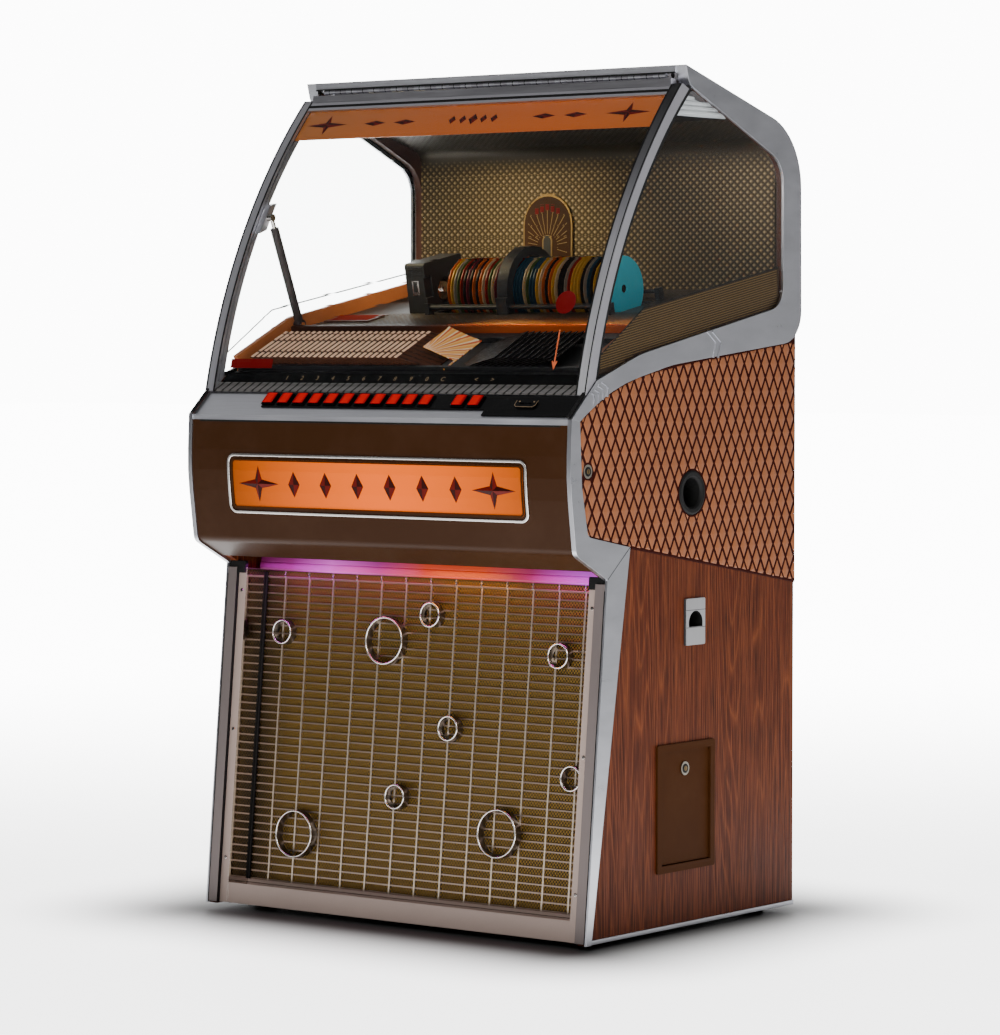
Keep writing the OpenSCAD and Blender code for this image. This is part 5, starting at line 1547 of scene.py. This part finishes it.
class JUKEBOX_OT_stars(bpy.types.Operator):
    """Puts stars and lozenges on the lit plate and the header, and a frame round the plate"""

    bl_idname = "jukebox.stars"
    bl_label = "Stars"

    def execute(self, context):
        s = sizes()
        low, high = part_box("name_plate")
        middle = (low.z + high.z) / 2
        face = slope(Vector((0, low.y - 0.0003, middle)), math.pi / 2)
        bm = bmesh.new()
        for x in (-0.267, 0.267):
            star(bm, at(face, x, 0, 0.0004), s.star_span, s.star_span * 0.68, 0.0035, (0, 1))
        for i in range(6):
            x = (i - 2.5) * 0.0735
            self.lozenge(bm, at(face, x, 0, 0.0004), 0.027, 0.046)
        self.bend(bm, low.y)
        finish_piece("plate_stars", bm, ("star", "star_painted_lit_facet"), CABINET, 0)
        self.plate_frame()
        bm = bmesh.new()
        header = lid_frame_at(HEADER_DEPTH, 0.898)
        for x in (-0.350, 0.340):
            star(bm, at(header, x, 0, 0.0002), 0.098, 0.048, 0.0012, (0, 1))
        for x in (-0.235, -0.165, 0.155, 0.225):
            self.lozenge(bm, at(header, x, 0, 0.0002), 0.052, 0.013)
        for i in range(5):
            size = 0.026 if i == 2 else 0.020
            self.lozenge(bm, at(header, (i - 2) * 0.024 - 0.005, 0, 0.0002), size * 0.8, size)
        finish_piece("header_stars", bm, ("star", "star_painted_lit_facet"), LID, 0)
        return {"FINISHED"}

    def lozenge(self, bm, matrix, width, height):
        """Faceted upright lozenge: two opposite quarters take a painted shade tone, the other two a
        painted light tone.
        """
        w, h = width / 2, height / 2
        ring = [bm.verts.new(p) for p in ((w, 0, 0), (0, h, 0), (-w, 0, 0), (0, -h, 0))]
        face = bm.faces.new(ring)
        face.normal_update()
        facets = bmesh.ops.poke(bm, faces=[face], offset=0.0016)["faces"]
        for facet in facets:
            middle = facet.calc_center_median()
            facet.material_index = 0 if middle.x * middle.y > 0 else 1
        bmesh.ops.transform(bm, matrix=matrix, verts=list({v for f in facets for v in f.verts}))

    def bend(self, bm, front):
        """Moves the flat stars back onto the swell of the lit plate."""
        points = {}
        for vert in NODES["name_plate"].data.vertices:
            key = round(vert.co.z, 4)
            points[key] = min(points.get(key, 1.0), vert.co.y)
        swell = sorted(points.items())
        for vert in bm.verts:
            for (z0, y0), (z1, y1) in zip(swell, swell[1:]):
                if z0 <= vert.co.z <= z1:
                    vert.co.y += y0 + (y1 - y0) * (vert.co.z - z0) / (z1 - z0) - front
                    break

    def plate_frame(self):
        """Thin dark frame round the edge of the lit plate, bent with it."""
        bm = mesh_of("name_plate")
        keep_faces(bm, [f for f in bm.faces if f.normal.y < -0.7])
        keep_rim(bm, 0.0030)
        raise_faces(bm, bm.faces[:], (0, -0.0016, 0))
        bmesh.ops.recalc_face_normals(bm, faces=bm.faces)
        finish_piece("plate_frame", bm, ("door",), CABINET)


def rolled_skin(columns, rows, place, rise):
    """Sheet of low pyramids: every second point of a grid stands proud of its neighbours."""
    bm = bmesh.new()
    bmesh.ops.create_grid(bm, x_segments=columns, y_segments=rows, size=1.0)
    proud = bm.verts.layers.float.new("rise")
    for vert in bm.verts:
        i = round((vert.co.x + 1) / 2 * columns)
        j = round((vert.co.y + 1) / 2 * rows)
        vert[proud] = float((i + j) % 2)
        vert.co = place(i / columns, j / rows, rise * vert[proud])
    for face in bm.faces[:]:
        low = [vert for vert in face.verts if vert[proud] < 0.5]
        bmesh.utils.face_split(face, *low)
    bmesh.ops.recalc_face_normals(bm, faces=bm.faces)
    return bm


# Rise of the embossed pyramids
WALL_RISE, DECK_RISE = 0.0028, 0.0014
# Path of the ceiling and the back wall, in metres from the front edge down to the deck
WALL_BENDS = [
    (0.1420, 1.4440), (0.2760, 1.4055), (0.2855, 1.4005), (0.2925, 1.3920),
    (0.2965, 1.3800), (0.2970, 1.3700), (0.2970, 1.1300),
]


def on_wall(share, rise):
    """Point at a share of the wall's path, moved into the bay."""
    spans = [math.dist(a, b) for a, b in zip(WALL_BENDS, WALL_BENDS[1:])]
    left = share * sum(spans)
    for (a, b), span in zip(zip(WALL_BENDS, WALL_BENDS[1:]), spans):
        if left <= span + 1e-9:
            break
        left -= span
    run = ((b[0] - a[0]) / span, (b[1] - a[1]) / span)
    return (a[0] + run[0] * left + run[1] * rise, a[1] + run[1] * left - run[0] * rise)


class JUKEBOX_OT_bay(bpy.types.Operator):
    """Dresses the bay under the lid: sheets, plaque, deck lip, page tabs, player and lamp covers"""

    bl_idname = "jukebox.bay"
    bl_label = "Bay"

    def execute(self, context):
        self.rolled_sheets()
        self.plaque()
        self.deck_lip()
        self.page_tabs()
        self.player()
        self.lamp_covers()
        return {"FINISHED"}

    def lamp_covers(self):
        """Ribbed end covers, and the underside of the lamp box behind the header, a black sheet as
        painted shade under the header.
        """
        bm = bmesh.new()
        for sign in (1, -1):
            side = on_side(sign, 0.4120)
            foot, back, head = 1.4325, 0.1335, 1.4470
            plate(bm, side, [(-0.0315, foot), (back, foot), (back, head), (0.0, 1.4675)], 0.0006)
            for i in range(4):
                z = 1.4365 + 0.0085 * i
                start = -0.0300 + 0.9 * (z - foot)
                stop = min(0.1330, back - (z - head) / 0.0205 * back)
                bar(bm, side, (start, z, 0.0004), (stop, z + 0.0052, 0.0022), 0.0008)
        # painted shade: a thin black sheet as the lamp box's underside
        low, high = (-BAY_HALF, -0.0310, 1.4312), (BAY_HALF, 0.1330, 1.4319)
        bar(bm, Matrix.Identity(4), low, high, 0.0002, 1)
        finish_piece("lamp_covers", bm, ("lamp_cover", "board"), CABINET)

    def rolled_sheets(self):
        """Embossed skins over the back wall, the ceiling and the deck."""

        def wall(u, v, rise):
            y, z = on_wall(v, rise)
            return Vector((-0.4095 + 0.819 * u, y, z))

        skin = rolled_skin(110, 64, wall, WALL_RISE)
        finish_piece("wall_emboss", skin, ("wall",), CABINET, 80.0)

        def sheet(start, stop):
            def point(u, v, rise):
                x, y = -0.4005 + 0.801 * u, start + (stop - start) * v
                return ON_DECK @ Vector((x, y, 0.0003 + rise))
            return point

        front = rolled_skin(144, 26, sheet(0.005, 0.1555), DECK_RISE)
        finish_piece("deck_emboss", front, ("deck",), CABINET, 80.0)
        rear = rolled_skin(144, 16, sheet(0.304, 0.392), DECK_RISE)
        finish_piece("deck_emboss_rear", rear, ("deck",), CABINET, 80.0)

    def plaque(self):
        """Arched plate with a slot and plain rays on the back wall."""
        wall = slope(PLAQUE_PLACE, math.pi / 2)
        bm = bmesh.new()
        plate(bm, wall, arch(0.058, 0.070), 0.0035, 0.0008, 0)
        plate(bm, at(wall, 0, 0, 0.0035), arch(0.0545, 0.066), 0.0006, 0.0002, 1)
        plate(bm, at(wall, 0, -0.030, 0.0041), arch(0.0115, 0.036), 0.0010, 0.0003, 0)
        plate(bm, at(wall, 0, -0.030, 0.0051), arch(0.0085, 0.034), 0.0006, 0.0, 2)
        for i in range(19):
            a = math.pi * (-0.08 + 1.16 * i / 18)
            ray = at(wall, 0, -0.040, 0.0041) @ Matrix.Rotation(a, 4, "Z")
            reach = min(0.046 / max(abs(math.cos(a)), 0.01), 0.060 + 0.014 * math.sin(a))
            bar(bm, ray, (0.024, -0.0005, 0), (reach, 0.0005, 0.0004), tone=0)
        for i in range(5):
            spot = at(wall, (i - 2) * 0.0125, 0.0335 - 0.0035 * abs(i - 2), 0.0041)
            bar(bm, spot, (-0.0042, -0.0055, 0), (0.0042, 0.0055, 0.0008), 0.0003, 3)
        finishes = ("gold_print", "nose", "black", "decal")
        finish_piece("wall_plaque", bm, finishes, CABINET)

    def deck_lip(self):
        """Rolled lip along the front of the deck, and the cover plate at its left end."""
        bm = bmesh.new()
        bar(bm, ON_DECK, (-0.3985, -0.010, -0.0085), (0.3985, 0.0042, 0.0110), 0.0034)
        finish_piece("deck_lip", bm, ("lip",), CABINET)
        bm = bmesh.new()
        bar(bm, ON_DECK, (-0.392, 0.078, 0.0004), (-0.285, 0.142, 0.0040), 0.0010)
        bar(bm, ON_DECK, (-0.386, 0.084, 0.0036), (-0.291, 0.136, 0.0044), 0.0003, 1)
        finish_piece("deck_cover", bm, ("inner_frame", "cover_print"), CABINET)

    def leaf(self, x, lean):
        """Frame of a leaning leaf, at its foot on the title deck."""
        return at(ON_TITLE, x, 0, 0.0003) @ Matrix.Rotation(lean, 4, "Y")

    def page_tabs(self):
        """Ridged tabs along the raised edge of each leaf of the title stacks."""
        bm = bmesh.new()
        for i in range(26):
            hinge = self.leaf(-0.282 + PAGE_PITCH * i, PAGE_LEAN)
            for start, stop in ((0.017, 0.036), (0.041, 0.083), (0.088, 0.112), (0.116, 0.125)):
                bar(bm, hinge, (-0.0896, start, 0.0012), (-0.0842, stop, 0.0028), 0.0003)
        finish_piece("page_tabs_left", bm, ("tab",), CABINET)
        bm = bmesh.new()
        for i in range(11):
            hinge = self.leaf(0.1075 + PAGE_PITCH * i, -PAGE_LEAN)
            bar(bm, hinge, (0.0880, 0.017, 0.0004), (0.0898, 0.125, 0.0022), 0.0004)
        finish_piece("page_tabs_right", bm, ("stay",), CABINET)

    def player(self):
        """Window, keys and lamp on the player's front."""
        front = ON_DECK @ slope(PLAYER_PLACE, math.pi / 2)
        bm = bmesh.new()
        bar(bm, front, (-0.008, -0.016, 0), (0.008, 0.012, 0.0016), 0.0006, 1)
        bar(bm, front, (-0.0045, -0.012, 0.001), (0.0045, 0.008, 0.0024), 0.0006, 0)
        for i in range(5):
            step = 0.0034 * i
            low, high = (-0.018, 0.022 + step, -0.0002), (0.018, 0.0235 + step, 0.0008)
            bar(bm, front, low, high, 0.0003, 0)
        finish_piece("player_front", bm, ("black", "steel"), CABINET)


def arch(half, leg, steps=18):
    """Outline with straight legs and a round top, centred on the middle of its arch."""
    turns = [math.pi * i / steps for i in range(steps + 1)]
    top = [(half * math.cos(a), half * math.sin(a)) for a in turns]
    return [(half, -leg)] + top + [(-half, -leg)]


PANE_FACE = 0.4250
# Top line of the printed band on the side panes, in metres front to back and up
BAND_FRONT, BAND_CORNER, BAND_REAR = (-0.2560, 1.0130), (-0.1276, 1.0944), (0.2860, 1.1700)
BAND_LINES, BAND_PITCH, BAND_STEP = 19, 0.0042, 0.002
# Knee in the lower edge of the window
PANE_KNEE = -0.150


def pane_foot(y):
    """Height of the window's lower edge."""
    if y > PANE_KNEE:
        return 1.102 - (0.290 - y) * 0.195
    return 1.0162 + (y - PANE_KNEE) * 0.349


def band_run(drop):
    """Ends of a line of the band that lies lower than its top line by a drop."""
    rise = (BAND_REAR[1] - BAND_CORNER[1]) / (BAND_REAR[0] - BAND_CORNER[0])
    slant = (BAND_CORNER[1] - BAND_FRONT[1]) / (BAND_CORNER[0] - BAND_FRONT[0])
    inside = []
    for i in range(272):
        y = BAND_FRONT[0] + BAND_STEP * i
        z = BAND_CORNER[1] + rise * (y - BAND_CORNER[0]) - drop
        edge = BAND_CORNER[1] + slant * (y - BAND_CORNER[0])
        if y < BAND_REAR[0] - 0.004 and pane_foot(y) < z < edge:
            inside.append((y, z))
    return [inside[0], inside[-1]] if len(inside) > 4 else None


class JUKEBOX_OT_prints(bpy.types.Operator):
    """Adds the band and the gaskets of the side panes and the plain marks on the lid's glass"""

    bl_idname = "jukebox.prints"
    bl_label = "Printed marks"

    def execute(self, context):
        self.pane_band()
        self.gaskets()
        bm = bmesh.new()
        glass = lid_frame_at(GLASS_DEPTH, 0.26)
        disc(bm, at(glass, 0.352), 0.021, 0.0003, 32)
        arrow = at(lid_frame_at(GLASS_DEPTH, 0.12), 0.352)
        outline = [
            (-0.0013, 0.035), (-0.0013, -0.022), (-0.0065, -0.020), (0, -0.036), (0.0065, -0.020),
            (0.0013, -0.022), (0.0013, 0.035),
        ]
        plate(bm, arrow, outline, 0.0003, tone=1)
        sign = lid_frame_at(GLASS_DEPTH, 0.075)
        bar(bm, sign, (-0.385, -0.0085, 0), (-0.285, 0.0085, 0.0003))
        finish_piece("lid_marks", bm, ("decal", "copper_print"), LID, 0)
        return {"FINISHED"}

    def pane_band(self):
        """Dark lined band along the foot of the right pane, and its top line on the left one."""
        bm = bmesh.new()
        for sign in (1, -1):
            side = on_side(sign, PANE_FACE)
            top = [BAND_FRONT, BAND_CORNER, BAND_REAR]
            stripe(bm, side, top, 0.0026, 0.0004, 2)
            if sign < 0:
                continue
            foot = [(y, pane_foot(y) - 0.003) for y in (0.286, 0.10, -0.05, PANE_KNEE, -0.262)]
            plate(bm, side, top + foot, 0.0003, tone=0)
            for i in range(1, BAND_LINES + 1):
                run = band_run(BAND_PITCH * i)
                if run:
                    stripe(bm, on_side(sign, PANE_FACE + 0.0004), run, 0.0017, 0.0002, 1)
        finishes = ("print_band", "gold_print", "gasket")
        finish_piece("pane_band", bm, finishes, CABINET, 0)

    def gaskets(self):
        """Black gasket round the edge of each pane."""
        bm = mesh_of("side_windows")
        outer = [f for f in bm.faces if abs(f.normal.x) > 0.9]
        keep_faces(bm, [f for f in outer if abs(f.calc_center_median().x) > OUTSIDE])
        keep_rim(bm, 0.0060)
        for sign in (1, -1):
            faces = [f for f in bm.faces if f.calc_center_median().x * sign > 0]
            raise_faces(bm, faces, (sign * 0.0010, 0, 0))
        bmesh.ops.recalc_face_normals(bm, faces=bm.faces)
        finish_piece("pane_gaskets", bm, ("gasket",), CABINET, 0)


# Places of the screws on the jambs and on the rear panel
JAMB_X, JAMB_SCREWS_Z = 0.400, (0.095, 0.330, 0.585)
REAR_SCREWS_X, REAR_SCREWS_Z = (-0.390, -0.13, 0.13, 0.390), (0.035, 0.36, 0.69, 1.010)
COIN_FACE = 0.4340


class JUKEBOX_OT_fixings(bpy.types.Operator):
    """Adds screws, plugs and a painted corner shade, grille foot and head, ring rims, hinge
    collars, lock faces, a painted shadow over the hinge and a dark line under the fascia
    """

    bl_idname = "jukebox.fixings"
    bl_label = "Fixings"

    def execute(self, context):
        r = sizes().screw_r
        bm = bmesh.new()
        face = Matrix.Rotation(math.pi / 2, 4, "X")
        for sign in (1, -1):
            for z in JAMB_SCREWS_Z:
                place = at(ON_LEAN, sign * JAMB_X, 0.0078, z) @ face
                self.screw(bm, place, r * 0.8)
        for x in REAR_SCREWS_X:
            for z in REAR_SCREWS_Z:
                place = Matrix.Translation((x, BACK_Y, z)) @ Matrix.Rotation(-math.pi / 2, 4, "X")
                self.screw(bm, place, r)
        finish_piece("screw_heads", bm, ("steel", "black"), CABINET)
        bm = bmesh.new()
        for sign in (1, -1):
            # painted shade: a dark bar in the corner between the grille cloth and each jamb
            side_bar(bm, ON_LEAN, sign, (0.3862, 0.0610, 0.0560), (0.3908, 0.0640, 0.6215), 0.0005)
            side_bar(bm, ON_LEAN, sign, (0.3925, 0.0030, 0.6170), (0.4340, 0.0120, 0.6390), 0.0010)
            side_bar(bm, ON_LEAN, sign, (0.4292, -0.0006, 0.0125), (0.4308, 0.0004, 0.6150))
            low, high = (0.4240, 0.0010, 0.0005), (BOARD_FACE, 0.0960, 0.0042)
            side_bar(bm, ON_FASCIA, sign, low, high, 0.0006)
        finish_piece("edge_plugs_and_painted_corner_shade", bm, ("gasket",), CABINET)
        bm = bmesh.new()
        bar(bm, ON_LEAN, (-GRILLE_HALF, 0.0605, 0.0503), (GRILLE_HALF, 0.0640, 0.0562), 0.0006)
        finish_piece("grille_foot", bm, ("jamb",), CABINET)
        self.grille_head()
        bm = bmesh.new()
        plate_face = on_side(1, COIN_FACE)
        for z in (0.5355, 0.5662):
            bar(bm, plate_face, (-0.0105, z, 0), (0.0465, z + 0.0009, 0.0002))
        # painted shadow: a dark strip on the board along the front edge of the coin plate
        bar(bm, on_side(1, BOARD_FACE), (-0.0124, 0.5055, 0), (-0.0110, 0.5865, 0.0030))
        finish_piece("coin_plate_lines_and_painted_shadow", bm, ("metal",), CABINET, 0)
        self.ring_rims()
        self.hinge()
        self.lock_faces()
        self.nose_dark_line()
        return {"FINISHED"}

    def grille_head(self):
        """Cloth and bars that carry the grille up to the light rail, and the rail's upper lip."""
        bm = bmesh.new()
        w = GRILLE_HALF
        bar(bm, ON_LEAN, (-w, 0.0630, 0.6132), (w, 0.0638, 0.6246))
        bar(bm, ON_LEAN, (-w, 0.0616, 0.6126), (w, 0.0632, 0.6148), 0.0004, 1)
        for i in range(-6, 7):
            x = GRILLE_PITCH * i
            bar(bm, ON_LEAN, (x - 0.0017, 0.0614, 0.6130), (x + 0.0017, 0.0632, 0.6246), 0.0004, 2)
        finish_piece("grille_head", bm, ("mesh", "rung", "rim"), CABINET)
        bm = bmesh.new()
        bar(bm, ON_LEAN, (-w, 0.0450, 0.6402), (w, 0.0480, 0.6490), 0.0008)
        finish_piece("light_rail_lip", bm, ("glow_lip",), CABINET)

    def ring_rims(self):
        """Bright bead round the front edge of each grille ring."""
        flat = ON_LEAN.inverted()
        spots = [flat @ vert.co for vert in NODES["grille_rings"].data.vertices]
        front = min(spot.y for spot in spots)
        loops = []
        for spot in spots:
            if spot.y > front + 0.0005:
                continue
            near = [loop for loop in loops if min((spot - other).length for other in loop) < 0.012]
            merged = [spot] + [other for loop in near for other in loop]
            loops = [loop for loop in loops if loop not in near] + [merged]
        bm = bmesh.new()
        for loop in loops:
            low = Vector([min(spot[i] for spot in loop) for i in range(3)])
            high = Vector([max(spot[i] for spot in loop) for i in range(3)])
            radius = (high.x - low.x) / 2 - 0.0014
            self.bead(bm, at(ON_LEAN, *((low + high) / 2)), radius, 0.0017)
        bmesh.ops.recalc_face_normals(bm, faces=bm.faces)
        finish_piece("ring_rims", bm, ("rim",), CABINET, 80.0)

    def bead(self, bm, place, radius, thick):
        """Ring of round wire that faces along a frame's y axis."""
        made = bmesh.ops.create_circle(bm, segments=10, radius=thick)
        bmesh.ops.translate(bm, vec=(radius, 0, 0), verts=made["verts"])
        edges = list({e for v in made["verts"] for e in v.link_edges})
        bmesh.ops.spin(
            bm, geom=made["verts"] + edges, cent=(0, 0, 0), axis=(0, 1, 0), angle=2 * math.pi,
            steps=48, use_merge=True,
        )
        reach = radius + 2 * thick
        level = {v for f in bm.faces for v in f.verts if abs(v.co.y) < 2 * thick}
        verts = [v for v in level if math.hypot(v.co.x, v.co.z) < reach]
        bmesh.ops.transform(bm, matrix=place, verts=verts)

    def lock_faces(self):
        """Dark face and brass core in the collar of each lock."""
        for node in ("side_lock", "cash_lock"):
            low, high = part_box(node)
            half = (high.z - low.z) / 2
            place = at(on_side(1, high.x), low.y + half, low.z + half)
            bm = bmesh.new()
            disc(bm, place, half * 0.70, 0.0006, 24, 0.0002)
            disc(bm, at(place, 0, 0, 0.0006), half * 0.36, 0.0005, 20, 0.0001, 1)
            bar(bm, place, (-0.0006, -half * 0.28, 0.0010), (0.0006, half * 0.28, 0.0012))
            finish_piece(f"{node}_face", bm, ("gasket", "gold_print"), node)

    def nose_dark_line(self):
        """Black strip along the joint between the fascia and the nose."""
        spots = [vert.co for vert in NODES["nose_panel"].data.vertices]
        top = max(spot.z for spot in spots)
        front = min(spot.y for spot in spots if spot.z > top - 0.002)
        bm = bmesh.new()
        low = (-BAY_HALF, front - 0.0006, top - 0.0034)
        bar(bm, Matrix.Identity(4), low, (BAY_HALF, front + 0.0010, top), 0.0003)
        finish_piece("nose_dark_line", bm, ("gasket",), CABINET)

    def hinge(self):
        """Dark collars between the hinge's knuckles, black for the shade in the gaps, and over them
        a black strip that is a painted shadow.
        """
        bm = bmesh.new()
        # painted shadow under the roof rail, over the knuckles
        bar(bm, Matrix.Identity(4), (-0.4100, -0.0187, 1.5052), (0.4100, -0.0172, 1.5080))
        # collars at the knuckle joints, black as painted shade in the gaps between them
        for i in range(31):
            place = Matrix.Translation((-0.4056 + HINGE_PITCH * i, *HINGE_AXIS))
            disc(bm, place @ Matrix.Rotation(math.pi / 2, 4, "Y"), 0.00468, 0.0012, 20)
        finish_piece("hinge_collars_and_painted_shadow", bm, ("gasket",), CABINET)

    def screw(self, bm, place, radius):
        """Domed head with a black cross that paints the shade of a cross recess."""
        top = radius * 0.42
        long, thin = radius * 0.55, radius * 0.09
        disc(bm, place, radius, top, 20, radius * 0.3)
        # painted shade: black bars in place of the recess
        for turn in (0, math.pi / 2):
            cross = place @ Matrix.Rotation(turn + 0.4, 4, "Z")
            bar(bm, cross, (-long, -thin, top), (long, thin, top + 0.0001), tone=1)


class JUKEBOX_PT_panel(bpy.types.Panel):
    """Lists the jukebox's pieces, sizes and colours"""

    bl_idname = "JUKEBOX_PT_panel"
    bl_label = "CD jukebox"
    bl_space_type = "VIEW_3D"
    bl_region_type = "UI"
    bl_category = "Jukebox"

    def draw(self, context):
        column = self.layout.column(align=True)
        for operator in OPERATORS:
            column.operator(operator.bl_idname)
        for group in (sizes(), colours()):
            box = self.layout.box()
            for name in group.__annotations__:
                box.prop(group, name)


OPERATORS = (
    JUKEBOX_OT_finishes,
    JUKEBOX_OT_stage,
    JUKEBOX_OT_padding,
    JUKEBOX_OT_side_trim,
    JUKEBOX_OT_eased,
    JUKEBOX_OT_selector,
    JUKEBOX_OT_stars,
    JUKEBOX_OT_bay,
    JUKEBOX_OT_prints,
    JUKEBOX_OT_fixings,
)
CLASSES = (JukeboxSizes, JukeboxColours, *OPERATORS, JUKEBOX_PT_panel)


def register():
    for cls in CLASSES:
        bpy.utils.register_class(cls)
    bpy.types.Scene.jukebox_sizes = bpy.props.PointerProperty(type=JukeboxSizes)
    bpy.types.Scene.jukebox_colours = bpy.props.PointerProperty(type=JukeboxColours)


def unregister():
    del bpy.types.Scene.jukebox_colours
    del bpy.types.Scene.jukebox_sizes
    for cls in reversed(CLASSES):
        bpy.utils.unregister_class(cls)


def main():
    register()
    for operator in OPERATORS:
        group, name = operator.bl_idname.split(".")
        getattr(getattr(bpy.ops, group), name)()


if __name__ == "__main__":
    main()
